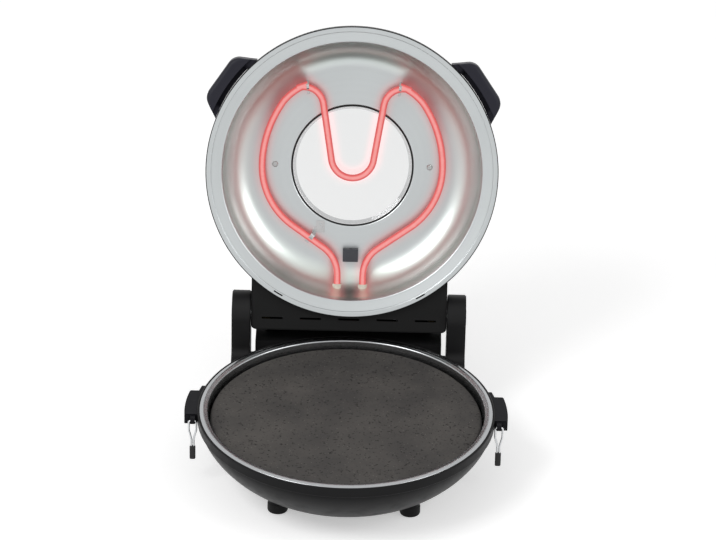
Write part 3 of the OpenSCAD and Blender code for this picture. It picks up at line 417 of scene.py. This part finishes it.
def softened(node, name, body, width, finish, moved=None):
    """A merged copy of a CAD node's mesh, its hard edges rounded over by the width in metres. moved is
    a function from the points to their new places."""
    source = frame["nodes"][node].data
    form = bmesh.new()
    form.from_mesh(source)
    bmesh.ops.remove_doubles(form, verts=form.verts, dist=3e-6)
    bmesh.ops.dissolve_limit(form, angle_limit=math.radians(0.5), verts=form.verts, edges=form.edges)
    mesh = bpy.data.meshes.new(name)
    form.to_mesh(mesh)
    form.free()
    if moved:
        places = np.empty(len(mesh.vertices) * 3)
        mesh.vertices.foreach_get("co", places)
        mesh.vertices.foreach_set("co", moved(places.reshape(-1, 3)).ravel())
    if mesh.attributes.get("custom_normal"):
        mesh.attributes.remove(mesh.attributes["custom_normal"])
    mesh.shade_smooth()
    mesh.set_sharp_from_angle(angle=math.radians(32))
    mesh.materials.clear()
    mesh.materials.append(finish.material)
    piece = bpy.data.objects.new(name, mesh)
    bpy.context.scene.collection.objects.link(piece)
    bevel = piece.modifiers.new("edges", "BEVEL")
    bevel.width, bevel.segments = width, 3
    bevel.limit_method, bevel.angle_limit = "ANGLE", math.radians(40)
    bevel.use_clamp_overlap, bevel.harden_normals = True, False
    even = piece.modifiers.new("flats", "WEIGHTED_NORMAL")
    even.keep_sharp = True
    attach(piece, body)
    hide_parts(node)
    return piece


grip_plastic = moulded("grip_plastic", (0.0078, 0.0078, 0.0098), 0.45, 0.08)
for side in ("left", "right"):
    softened("ear_" + side, "ear_plate_" + side, "base", 0.0007, grip_plastic)

BAIL_X, BAIL_Y, BAIL_Z, WIRE, BAIL_LONG, BAIL_HALF = 174.6, -21.0, 79.0, 1.2, 50.0, 4.2
SLEEVE_WIDE, SLEEVE_THICK, SLEEVE_LONG = 3.4, 2.2, 17.0


def bent(corners, radii, step):
    """A line whose inner corners are arcs: about the centre that lies a radius from both sides, from
    one touching point to the other."""
    corners = np.asarray(corners, float)
    parts = [corners[:1]]
    for before, corner, after, radius in zip(corners, corners[1:], corners[2:], radii):
        u, w = corner - before, after - corner
        u, w = u / np.linalg.norm(u), w / np.linalg.norm(w)
        turn = math.atan2(u[0] * w[1] - u[1] * w[0], u @ w)
        first = corner - u * radius * math.tan(abs(turn) / 2)
        inward = math.copysign(1, turn) * np.array([-u[1], u[0]])
        a = np.linspace(0, abs(turn), max(4, int(radius * abs(turn) / step)))[:, None]
        parts.append(first + radius * (np.sin(a) * u + (1 - np.cos(a)) * inward))
    return np.concatenate(parts + [corners[-1:]])


def swept(path, radius, across):
    """A round bar along a flat path of points (x, y): path + radius * (cos b * side, sin b), with its
    end points repeated at radius 0 to close it."""
    along = np.gradient(path, axis=0)
    along /= np.linalg.norm(along, axis=1)[:, None]
    side = np.stack([-along[:, 1], along[:, 0]], 1)
    reach = np.concatenate([[0], np.full(len(path), float(radius)), [0]])
    path, side = [np.concatenate([v[:1], v, v[-1:]]) for v in (path, side)]
    b = np.linspace(0, 2 * math.pi, across, endpoint=False)
    flat = path[:, None] + reach[:, None, None] * np.cos(b)[None, :, None] * side[:, None]
    return np.concatenate([flat, (reach[:, None] * np.sin(b))[:, :, None]], 2)


bail_wire = metal("bail_wire", (0.6, 0.61, 0.62), 0.16, 4e-6)
sleeve_plastic = moulded("sleeve_plastic", (0.012, 0.012, 0.0125), 0.5, 0.35, 6e-5)
tip = WIRE + 0.15
half_bail = [(tip, -BAIL_LONG), (tip, -24), (BAIL_HALF, -12), (BAIL_HALF, 0)]
bail_corners = half_bail + [(-x, y) for x, y in half_bail[::-1]]
bail_path = filled(bent(bail_corners, (8, 8, 1.9, 1.9, 8, 8), 0.3), 1.5)
wire_points = swept(bail_path, WIRE, 16)
a = np.linspace(0, 2 * math.pi, 40, endpoint=False)
round_about = np.stack([np.cos(a), np.sin(a)], 1)
oval = np.sign(round_about) * np.abs(round_about) ** 0.7
sleeve_size = np.array([[0, 0], [0.8, 0.7], [0.96, 0.9], [1, 1], [1, 1], [1, 1], [1, 1], [0.97, 0.95],
                        [0.85, 0.8], [0, 0]])
sleeve_h = np.array([0, 0, 0.4, 1.2, 6, 11, SLEEVE_LONG - 1.2, SLEEVE_LONG - 0.4, SLEEVE_LONG, SLEEVE_LONG])
sleeve = np.concatenate([oval[None] * (sleeve_size * [SLEEVE_WIDE, SLEEVE_THICK])[:, None],
                         np.broadcast_to(sleeve_h[:, None, None], (len(sleeve_h), len(a), 1))], 2)
for side, name in ((-1, "left"), (1, "right")):
    at = np.array([BAIL_X * side, BAIL_Y, BAIL_Z])
    loop = from_dish(wire_points[:, :, [0, 2, 1]] * [1, -1, 1] + at)
    surface("bail_loop_" + name, "bail_" + name, [(loop, False, True)], bail_wire,
            ["bail_" + name])
    grip = from_dish(sleeve + at - [0, 0, BAIL_LONG])
    surface("bail_sleeve_" + name, "bail_" + name, [(grip, False, True)], sleeve_plastic,
            ["bail_grip_" + name])

# The two hinge legs are thick mouldings that reach round the dish and stand behind it. The lid turns
# on hollow steel pins with a flat cap, pressed through their round tops.
frame_plastic = moulded("frame_plastic", (0.0125, 0.0125, 0.013), 0.43, 0.12)
for side in ("left", "right"):
    softened("leg_" + side, "leg_post_" + side, "base", 0.0012, frame_plastic)
pin_steel = metal("pin_steel", (0.48, 0.49, 0.5), 0.22)
dress(pin_steel, "hinge_pin_left", "hinge_pin_right")

# The rear box is a hollow moulding between the legs, with the rib that stops the open lid. A flat
# cover with louvres closes its back and holds the ring of the supply lead's gland; the terminals,
# the fuse and the wiring are inside.
softened("rear_box", "rear_housing", "base", 0.0012, frame_plastic)
softened("rear_cover", "rear_lid", "base", 0.0007, frame_plastic)
softened("cord_gland", "gland_ring", "base", 0.0006, sleeve_plastic)
wire_red = moulded("wire_red", (0.32, 0.03, 0.02), 0.45, 0.5, 1e-5)
dress(wire_red, "base_wiring", "lid_wiring")

# Four turned rubber feet are screwed below the dish's bosses and the legs.
rubber = moulded("foot_rubber", (0.007, 0.007, 0.0072), 0.55, 0.15, 6e-5, 700.0)
softened("front_feet", "feet_front", "base", 0.0006, rubber)
softened("rear_feet", "feet_rear", "base", 0.0005, rubber)

# The lid's shell is the dish's counterpart: a drawn steel dome in the same black enamel, with a
# straight band at its mouth and a round opening for the window in its flat top.
MOUTH, LID_EDGE, LID_TOP, CROWN_EDGE, WINDOW = 87.1, 170.5, 80.0, 92.0, 71.5
hinge = next(j for j in frame["joints"] if j["name"] == "lid_hinge")
hinge_place = np.array(hinge["pos_m"])
opening = math.radians(hinge["range_deg"][1])
HINGE_Y = 171.4


def from_lid(places):
    """Millimetres in the closed lid (x, y from the middle, h above the mouth), to the open lid in metres."""
    x, y, h = np.moveaxis(np.asarray(places, float), -1, 0)
    back, up = (y - HINGE_Y) / 1000, (h + MOUTH) / 1000 - hinge_place[2]
    c, s = math.cos(opening), math.sin(opening)
    return np.stack([x / 1000, hinge_place[1] + back * c + up * s, hinge_place[2] - back * s + up * c], -1)


LID_INSET, LID_BAND, SHOULDER, LID_SWELL, LID_SHEET = 1.8, 12.0, 14.0, 2.2, 0.9
shell_t = swelling((0, 0), (1, 1), LID_SWELL, 40)
shell_top = np.stack([CROWN_EDGE + (LID_EDGE - LID_INSET - CROWN_EDGE) * shell_t[:, 0],
                      LID_TOP - (LID_TOP - SHOULDER) * shell_t[:, 1]], 1)
shell_band = eased([[LID_EDGE, 0], [LID_EDGE, LID_BAND], [LID_EDGE - LID_INSET, SHOULDER - 0.5],
                    shell_top[-2]], 0.7)[:-1]
shell_line = np.concatenate([shell_band, shell_top[::-1][1:], [[80, LID_TOP], [WINDOW + 1.5, LID_TOP]]])
shell = spun(filled(sheet_of(shell_line, LID_SHEET), 3.0))
surface("lid_dome", "lid", [(from_lid(shell), True, True)], black_enamel, ["lid_shell"])

# The liner is a deep-drawn bright pressing: two flat flanges at the mouth, a rolled step, a round
# cove and a flat plate. The wall nearest to the tube is tinted a darker olive, most towards its front and
# back.
# Two short slots are pierced in the outer flange at the back.
WALL_EDGE, STEP, PLATE_DEEP, PLATE_EDGE = 150.0, 165.3, 64.0, 112.0
COVE, LINER_SHEET = WALL_EDGE - PLATE_EDGE, 0.8
SLOT_TURN, SLOT_LONG, SLOT_OUT = 30.0, 14.0, 1.8
liner_line = np.concatenate([
    [[LID_EDGE - 1, 0], [STEP + SLOT_OUT, 0], [STEP + 0.2, 0]],
    arc((STEP - 0.2, 1), 1, 270, 190, 6),
    [[STEP - 1.4, 2.3], [WALL_EDGE + 3.6, 4.8]],
    arc((WALL_EDGE + 3.4, 6.6), 1.8, 265, 185, 8),
    [[WALL_EDGE + 0.9, 12]],
    arc((PLATE_EDGE, PLATE_DEEP - COVE), COVE, 0, 90, 40),
    arc((WINDOW + 2, PLATE_DEEP + 2), 2, 270, 180, 6),
    [[WINDOW, PLATE_DEEP + 3]]])
liner = spun(filled(sheet_of(liner_line, -LINER_SHEET), 2.4), 360)

# The tube's centre line, seen along the lid's axis: the corners of one half in millimetres from the
# lid's middle, and the radius of the bend at each. They were fitted to the tube in the photograph by
# least squares and rounded to whole millimetres.
TUBE_DEEP, TUBE, GLOW_WIDE = 50.0, 8.0, 6.0
half_tube = [(15, 158), (15, 108), (106, 45), (106, -44), (72, -90), (40, -102), (0, 143)]
half_bends, dip_bend = [40, 86, 133, 65, 23], 25
tube_path = filled(bent(half_tube + [(-x, y) for x, y in half_tube[-2::-1]],
                        half_bends + [dip_bend] + half_bends[::-1], 1.5), 1.8)


def nearness(places):
    """How far each point of the lid lies from the tube's centre line, seen along the lid's axis, in mm."""
    flat = places.reshape(-1, 3)[:, :2]
    line = tube_path[::2]
    square = (flat ** 2).sum(1)[:, None] + (line ** 2).sum(1)[None] - 2 * flat @ line.T
    return np.sqrt(np.maximum(square.min(1), 0))


def lit_by_tube(finish, worn):
    """Painted light on the liner: the cove painted lighter and less red than the plate, an olive tint near
    the tube, and a pink glow painted round the tube.
    """
    # painted highlight: the cove and wall are painted lighter and less red than the plate, which also offsets
    # the pink cast from the tube
    painted_bright_wall = finish.tint(finish.mark("wall"), worn, (0.66, 0.73, 0.72))
    # a darker olive tint on the wall towards the tube
    olive_tint = finish.tint(finish.mark("olive_tint") * 0.45, painted_bright_wall, (0.55, 0.58, 0.5))
    # painted light: a pink glow round the tube, as emission and as a pinker colour
    painted_glow = finish.mark("painted_glow")
    finish.feed(Emission_Color=finish.tint(painted_glow, (0.0, 0.0, 0.0), (0.12, 0.03, 0.03)))
    finish.shader.inputs["Emission Strength"].default_value = 1.0
    return finish.tint(painted_glow * 0.4, olive_tint, (0.6, 0.4, 0.39))


def wall_tints_and_painted_glow(places):
    """The pink glow, a painted light, falls off as exp(-(d/w)^2) from the tube's surface, where w is
    GLOW_WIDE;
    the wall mark is 1 on the cove and its wall, where the steel is painted lighter, and the olive tint rises
    there towards the tube."""
    near = nearness(places)
    flat = places.reshape(-1, 3)
    reach, deep = np.hypot(flat[:, 0], flat[:, 1]), flat[:, 2]
    # the cove and its wall, which are painted lighter
    wall = np.clip((reach - 118) / 14, 0, 1) * np.clip((deep - 8) / 14, 0, 1)
    # the olive tint is stronger towards the lid's front and back
    side = 0.35 + 0.65 * np.clip(np.abs(flat[:, 1]) / 120, 0, 1)
    # the painted pink glow, strongest at the tube's surface
    painted_glow = np.exp(-(np.maximum(near - TUBE / 2, 0) / GLOW_WIDE) ** 2) * (deep > 20)
    return {"painted_glow": painted_glow, "wall": wall, "olive_tint": wall * side * np.exp(-(near / 60) ** 2)}


def slots_open(middles):
    """Leaves out the faces of the two slots, 1.6 mm wide, to either side of the back."""
    back = (middles - hinge_place) * 1000
    c, s = math.cos(opening), math.sin(opening)
    y = back[:, 1] * c - back[:, 2] * s + HINGE_Y
    h = back[:, 1] * s + back[:, 2] * c + hinge_place[2] * 1000 - MOUTH
    reach = np.hypot(middles[:, 0] * 1000, y)
    turn = np.abs(np.degrees(np.arctan2(middles[:, 0] * 1000, y)))
    off = np.radians(np.abs(turn - SLOT_TURN)) * reach
    return ~((off < SLOT_LONG / 2) & (reach > STEP + 0.2) & (reach < STEP + SLOT_OUT) & (h < 2))


# The liner's colour carries painted light: a lighter cove and a pink glow painted round the tube.
liner_steel = steel("liner_steel", (0.52, 0.545, 0.55), 0.32, tint=lit_by_tube)
surface("liner", "lid", [(from_lid(liner), True, True)], liner_steel, ["lid_liner"],
        marks={"turned": liner.reshape(-1, 3) / 1000, **wall_tints_and_painted_glow(liner)}, keep=slots_open)
dress(strap_steel, "liner_screws")

# The window is a round pane of toughened glass. A bright cone holds it on the inside, with a thin black
# seal round the cone, and a gasket and a black trim ring hold it on the outside.
GLASS_LOW, GLASS, GLASS_THICK, CONE, SEAL, SEAL_HIGH = 74.1, 79.5, 4.0, 66.5, 1.3, 2.5
pane = Finish("window_pane", {"Transmission Weight": 1.0, "IOR": 1.46, "Base Color": (0.77, 0.775, 0.775, 1)})
place = pane.own_place()
film = pane.between(pane.noise(place, 24.0, 4.0, 0.6), 0.35, 0.9)
# painted light: a pink glow from the tube, as emission on the glass near it
painted_glow = pane.mark("painted_glow")
pane.feed(Roughness=0.02 + 0.05 * film, Emission_Color=pane.tint(painted_glow, (0.0, 0.0, 0.0), (0.42, 0.03, 0.028)))
pane.shader.inputs["Emission Strength"].default_value = 1.0
pane.relief(pane.noise(place, 30.0, 2.0), 4e-6)
glass_high = GLASS_LOW + GLASS_THICK
pane_line = filled(eased([[0, GLASS_LOW], [GLASS - 0.5, GLASS_LOW], [GLASS, GLASS_LOW + 0.5],
                          [GLASS, glass_high - 0.5], [GLASS - 0.5, glass_high], [0, glass_high]], 0.3), 2.4)
pane_grid = spun(pane_line, 192)
# the glass takes a weaker copy of the painted glow round the tube
surface("glass", "lid", [(from_lid(pane_grid), True, False)], pane, ["window_glass"],
        marks={"painted_glow": wall_tints_and_painted_glow(pane_grid)["painted_glow"] * 0.35})
cone_edge = WINDOW - SEAL
cone_line = np.array([[CONE, GLASS_LOW], [cone_edge - 0.9, PLATE_DEEP + 0.4], [cone_edge, PLATE_DEEP + 0.4],
                      [cone_edge, PLATE_DEEP + 5], [GLASS, GLASS_LOW - 1.2], [GLASS, GLASS_LOW],
                      [CONE, GLASS_LOW]])
cone = spun(filled(eased(cone_line, 0.25), 1.5), 256)
cone_steel = steel("cone_steel", (0.66, 0.665, 0.67), 0.15)
surface("cone", "lid", [(from_lid(cone), True, True)], cone_steel, ["window_ring"],
        marks={"turned": cone.reshape(-1, 3) / 1000})
seal_rubber = moulded("seal_rubber", (0.006, 0.006, 0.006), 0.55, 0.3, 3e-5)
dress(seal_rubber, "window_gasket")
seal_in, seal_out, seal_low = cone_edge + 0.05, WINDOW - 0.05, PLATE_DEEP + 0.1
seal_line = np.array([[seal_in, seal_low], [seal_out, seal_low], [seal_out, seal_low + SEAL_HIGH],
                      [seal_in, seal_low + SEAL_HIGH], [seal_in, seal_low]])
surface("seal", "lid", [(from_lid(spun(filled(eased(seal_line, 0.3), 1.0), 256)), True, True)], seal_rubber,
        ["window_seal"])
TRIM_IN, TRIM_NECK, TRIM_OUT, TRIM_LOW, TRIM_SEAT, TRIM_TOP = 69.0, 72.9, 83.5, 78.5, 80.05, 82.6
trim_line = np.array([[TRIM_IN, TRIM_LOW], [TRIM_NECK, TRIM_LOW], [TRIM_NECK, TRIM_SEAT],
                      [TRIM_OUT, TRIM_SEAT], [TRIM_OUT, 81], [TRIM_OUT - 3, TRIM_TOP], [72.5, TRIM_TOP],
                      [TRIM_IN, 80], [TRIM_IN, TRIM_LOW]])
surface("trim", "lid", [(from_lid(spun(filled(eased(trim_line, 0.5), 2.0), 256)), True, True)], grip_plastic,
        ["window_trim"])

# The upper heater is one sheathed tube, bent in a heart with a deep dip and hung a few millimetres
# in front of the plate by two straps and a drilled tab. It is shown switched on, with a red glow painted on
# as emission: a painted highlight makes it palest along the side that faces the mouth, and painted shade
# dims its back, towards the plate, to a dark red.
hot = Finish("glowing_sheath", {"Roughness": 0.45, "Emission Strength": 1.0, "Specular IOR Level": 0.4})
place = hot.own_place()
facing, heat = hot.mark("facing"), hot.mark("heat")
crust = hot.noise(place, 260.0, 4.0, 0.6)
# painted highlight: a pale stripe along the side that faces the mouth
pale = hot.between(facing + 0.12 * (crust - 0.5), 0.8, 0.99)
glowing = hot.tint(pale * (1.0 - 0.75 * heat), (0.66, 0.09, 0.09), (0.78, 0.3, 0.29))
hot.feed(Base_Color=hot.tint(crust, (0.1, 0.03, 0.028), (0.16, 0.05, 0.045)),
         # painted shade: the glow dims to dark red on the side that faces the plate
         Emission_Color=hot.tint(hot.between(facing, -0.2, 0.75), (0.3, 0.012, 0.014), glowing))
hot.relief(crust, 3e-5)
ring = swept(tube_path, TUBE / 2, 24)
tube_grid = np.concatenate([ring[:, :, :2], ring[:, :, 2:] + TUBE_DEEP], 2)
far = tube_grid.reshape(-1, 3)
# spots where the painted glow is deepest red, with less of the pale highlight
hottest = np.array([[-52, -92], [52, -92], [0, 14.0]])
warm = np.exp(-((far[:, None, :2] - hottest[None]) ** 2).sum(2) / 22 ** 2).max(1)
surface("upper_heater", "lid", [(from_lid(tube_grid), False, True)], hot, ["upper_element"],
        marks={"facing": (TUBE_DEEP - far[:, 2]) / (TUBE / 2), "heat": warm})


def along_lid(x, y):
    """A function that moves points by y along the lid, and by x away from its middle line."""
    step = from_lid([0.0, y, 0.0]) - from_lid([0.0, 0.0, 0.0])

    def moved(places):
        outward = np.zeros_like(places)
        outward[:, 0] = np.sign(places[:, 0]) * x / 1000
        return places + step + outward

    return moved


LOBE_OUT, LOBE_BACK, TAB_BACK = 5.0, 1.5, 3.0
softened("upper_element_straps", "heater_straps", "lid", 0.0002, strap_steel,
         moved=along_lid(LOBE_OUT, LOBE_BACK))
softened("upper_element_tab", "heater_tab", "lid", 0.0002, strap_steel,
         moved=along_lid(0.0, TAB_BACK))
block_metal = metal("block_metal", (0.07, 0.072, 0.08), 0.5, 5e-5)
dress(block_metal, "sensor_block")

# The lid's two handles are hollow mouldings in slate-black plastic, screwed on from inside. A narrow
# groove runs between the lid's edge and a smooth pad with large round corners, and is deep enough in
# its middle for the fingertips.
HANDLE_TURN, HANDLE_REACH, HANDLE_LOW, HANDLE_HIGH = math.radians(-34.5), 190.5, 3.0, 25.0
CORNER, CORNER_Y, SLOPE, END = 15.0, 19.5, math.radians(62), 41.6
GROOVE, GROOVE_DEEP, FINGER_DEEP, GRIP_HALF, PAD_EDGE = 6.0, 3.4, 7.6, 26.0, 5.0


def handle_edge(y):
    """The outline's reach x at y: straight to CORNER_Y, then a circle x = m + sqrt(c^2 - (y - y0)^2)
    up to the slope's angle, then the straight line that touches the circle there."""
    off = np.maximum(np.abs(y) - CORNER_Y, 0)
    turn = CORNER * math.sin(SLOPE)
    round_part = HANDLE_REACH - CORNER + np.sqrt(CORNER ** 2 - np.minimum(off, turn) ** 2)
    return round_part - np.maximum(off - turn, 0) * math.tan(SLOPE)


def handle_section():
    """One closed section (x, h) at each y: inner face, groove, ridge, crowned pad, round outer edge and
    flat back. The parts shrink together where the outline meets the lid's edge."""
    y = END * np.sin(np.linspace(-math.pi / 2, math.pi / 2, 97))
    inner = np.sqrt((LID_EDGE + 0.15) ** 2 - y ** 2)
    outer = np.maximum(handle_edge(y), inner + 0.8)
    ridge = np.minimum(np.sqrt((LID_EDGE + GROOVE) ** 2 - y ** 2), outer - 0.5)
    pad = np.clip((outer - ridge) / 4, 0, 1)
    deep = GROOVE_DEEP + FINGER_DEEP / (1 + np.exp((np.abs(y) - GRIP_HALF) / 1.2))
    floor_h, ridge_h = HANDLE_LOW + deep, HANDLE_LOW + GROOVE_DEEP * (1 - pad)
    edge = np.minimum(PAD_EDGE, 0.45 * (outer - ridge))
    back = np.minimum(2.0, 0.3 * (outer - inner))
    rows = [(inner, HANDLE_HIGH - back), (inner, floor_h), (inner + 0.3, floor_h), (ridge - 0.8, floor_h),
            (ridge - 0.3, floor_h - 0.4), (ridge, ridge_h + 0.7), (ridge + 0.4 * pad, ridge_h)]
    rows += [(ridge + (outer - edge - ridge) * t, ridge_h + 0.5 * pad * (1 - t) * t)
             for t in (0.15, 0.35, 0.55, 0.75)]
    rows += [(outer - edge + edge * math.sin(a), ridge_h + edge * (1 - math.cos(a)))
             for a in np.linspace(0, math.pi / 2, 7)]
    rows += [(outer - back + back * math.cos(a), HANDLE_HIGH - back + back * math.sin(a))
             for a in np.linspace(0, math.pi / 2, 5)]
    rows += [(inner + back * (1 - math.sin(a)), HANDLE_HIGH - back + back * math.cos(a))
             for a in np.linspace(0, math.pi / 2, 5)[:-1]]
    x = np.stack([row[0] + 0 * y for row in rows], 1)
    h = np.stack([row[1] + 0 * y for row in rows], 1)
    grid = np.stack([x, np.broadcast_to(y[:, None], x.shape), h], 2)
    closing = [np.broadcast_to(grid[k].mean(0), grid[k].shape)[None] for k in (0, -1)]
    return np.concatenate([closing[0], grid, closing[1]])


handle_plastic = moulded("handle_plastic", (0.0205, 0.0205, 0.0285), 0.42, 0.14)
section = handle_section()
c, t = math.cos(HANDLE_TURN), math.sin(HANDLE_TURN)
turned = np.stack([section[..., 0] * c - section[..., 1] * t, section[..., 0] * t + section[..., 1] * c,
                   section[..., 2]], -1)
for side, way in (("left", -1), ("right", 1)):
    surface("handle_" + side, "lid", [(from_lid(turned * [way, 1, 1]), False, True)], handle_plastic,
            ["lid_handle_" + side], sharp=40)

# The housing behind the lid is moulded with the knuckles of the hinge, and has a row of vent slots
# below. Its cover carries the thermostat's knob and two pilot lamps. Brass bushes run on the pins.
housing_plastic = moulded("housing_plastic", (0.0078, 0.0079, 0.008), 0.45, 0.12)
softened("lid_housing", "housing", "lid", 0.0009, housing_plastic)
softened("housing_cover", "housing_top", "lid", 0.0009, housing_plastic)
brass = metal("bush_brass", (0.5, 0.36, 0.13), 0.25)
dress(brass, "hinge_bush_left", "hinge_bush_right")
dress(pin_steel, "thermostat", "thermostat_spindle")
knob_plastic = moulded("knob_plastic", (0.013, 0.013, 0.0135), 0.32, 0.5)
softened("thermostat_knob", "knob_grip", "knob", 0.0005, knob_plastic)
lamp_red = Finish("lamp_red", {"Transmission Weight": 0.5, "IOR": 1.49, "Coat Weight": 0.6})
place = lamp_red.own_place()
ribs = lamp_red.node("ShaderNodeTexVoronoi", {}, {"Vector": place, "Scale": 900.0}, "Distance")
lamp_red.feed(Base_Color=lamp_red.tint(ribs, (0.62, 0.03, 0.02), (0.4, 0.015, 0.01)),
              Roughness=0.12 + 0.1 * ribs)
lamp_red.relief(ribs, 8e-5)
dress(lamp_red, "pilot_lamps")

# The studio: a plain pale floor, a large soft lamp above on the left, a weaker one on the right, and
# the camera where the photograph was taken from.
FLOOR = 9
floor_mesh = bpy.data.meshes.new("floor")
floor_mesh.from_pydata([(-FLOOR, -FLOOR, 0), (FLOOR, -FLOOR, 0), (FLOOR, FLOOR, 0), (-FLOOR, FLOOR, 0)],
                       [], [(0, 1, 2, 3)])
floor = bpy.data.objects.new("floor", floor_mesh)
bpy.context.scene.collection.objects.link(floor)
pale = Finish("pale_floor", {"Roughness": 0.9, "Specular IOR Level": 0.1, "Emission Strength": 1.0})
seen = pale.node("ShaderNodeLightPath", {}, {}, "Is Camera Ray")
mirrored = Amount(pale, seen.socket.node.outputs["Is Glossy Ray"])
through = Amount(pale, seen.socket.node.outputs["Is Transmission Ray"])
place = pale.own_place()
mottled = pale.noise(place, 3.0, 3.0)
direct = pale.node("ShaderNodeMath", {"operation": "MAXIMUM"}, {0: seen, 1: mirrored})
direct = pale.node("ShaderNodeMath", {"operation": "MAXIMUM"}, {0: direct, 1: through})
pale.feed(Base_Color=pale.tint(mottled, (0.82, 0.82, 0.82), (0.85, 0.85, 0.85)),
          Emission_Color=pale.tint(direct, (0.0, 0.0, 0.0), (0.44, 0.44, 0.44)))
floor_mesh.materials.append(pale.material)

world = bpy.data.worlds.new("studio")
bpy.context.scene.world = world
world.use_nodes = True
tree = world.node_tree
path = tree.nodes.new("ShaderNodeLightPath")
level = None
for kind in ("Is Camera Ray", "Is Glossy Ray", "Is Transmission Ray"):
    if level is None:
        level = path.outputs[kind]
    else:
        most = tree.nodes.new("ShaderNodeMath")
        most.operation = "MAXIMUM"
        tree.links.new(level, most.inputs[0])
        tree.links.new(path.outputs[kind], most.inputs[1])
        level = most.outputs[0]
rise = tree.nodes.new("ShaderNodeMapRange")
rise.inputs["To Min"].default_value, rise.inputs["To Max"].default_value = 0.5, 1.0
tree.links.new(level, rise.inputs["Value"])
tree.links.new(rise.outputs[0], tree.nodes["Background"].inputs["Strength"])
tree.nodes["Background"].inputs["Color"].default_value = (1, 1, 1, 1)


def lamp(name, place, aim, size, power):
    """A square soft lamp at a place, turned to what it lights."""
    light = bpy.data.lights.new(name, "AREA")
    light.shape, light.size, light.energy = "SQUARE", size, power
    holder = bpy.data.objects.new(name, light)
    holder.location = place
    holder.rotation_mode = "QUATERNION"
    holder.rotation_quaternion = (Vector(place) - Vector(aim)).to_track_quat("Z", "Y")
    bpy.context.scene.collection.objects.link(holder)


lamp("key", (-1.7, -1.3, 2.4), (0, 0, 0.15), 1.4, 38)
lamp("fill", (1.9, -1.0, 1.6), (0, 0, 0.15), 1.2, 14)

FOCAL, FRAME_WIDE, FRAME_HIGH, SENSOR = 4000.0, 716, 540, 36
DISTANCE, AZIMUTH, HEIGHT, ROLL = 4.571, math.radians(0.32), math.radians(31.0), math.radians(1.16)
TARGET_X, TARGET_Y = 346.2, 409.7
target = Vector((0, dish_middle[1], 0.086))
away = Vector((math.sin(AZIMUTH) * math.cos(HEIGHT), -math.cos(AZIMUTH) * math.cos(HEIGHT),
               math.sin(HEIGHT)))
right = Vector((math.cos(AZIMUTH), math.sin(AZIMUTH), 0))
up = away.cross(right)
level_axes = Matrix((right * math.cos(ROLL) + up * math.sin(ROLL),
                     up * math.cos(ROLL) - right * math.sin(ROLL), away))
sight = Vector((TARGET_X - FRAME_WIDE / 2, FRAME_HIGH / 2 - TARGET_Y, -FOCAL)).normalized()
swing = sight.rotation_difference(Vector((0, 0, -1))).to_matrix()
lens = bpy.data.cameras.new("camera")
lens.lens, lens.sensor_width = FOCAL / FRAME_WIDE * SENSOR, SENSOR
lens.clip_start, lens.clip_end = 0.1, 40
camera = bpy.data.objects.new("camera", lens)
facing_target = (level_axes.transposed() @ swing).to_4x4()
camera.matrix_world = Matrix.Translation(target + away * DISTANCE) @ facing_target
bpy.context.scene.collection.objects.link(camera)
bpy.context.scene.camera = camera
bpy.context.scene.view_settings.view_transform = "Standard"

bpy.context.view_layer.update()
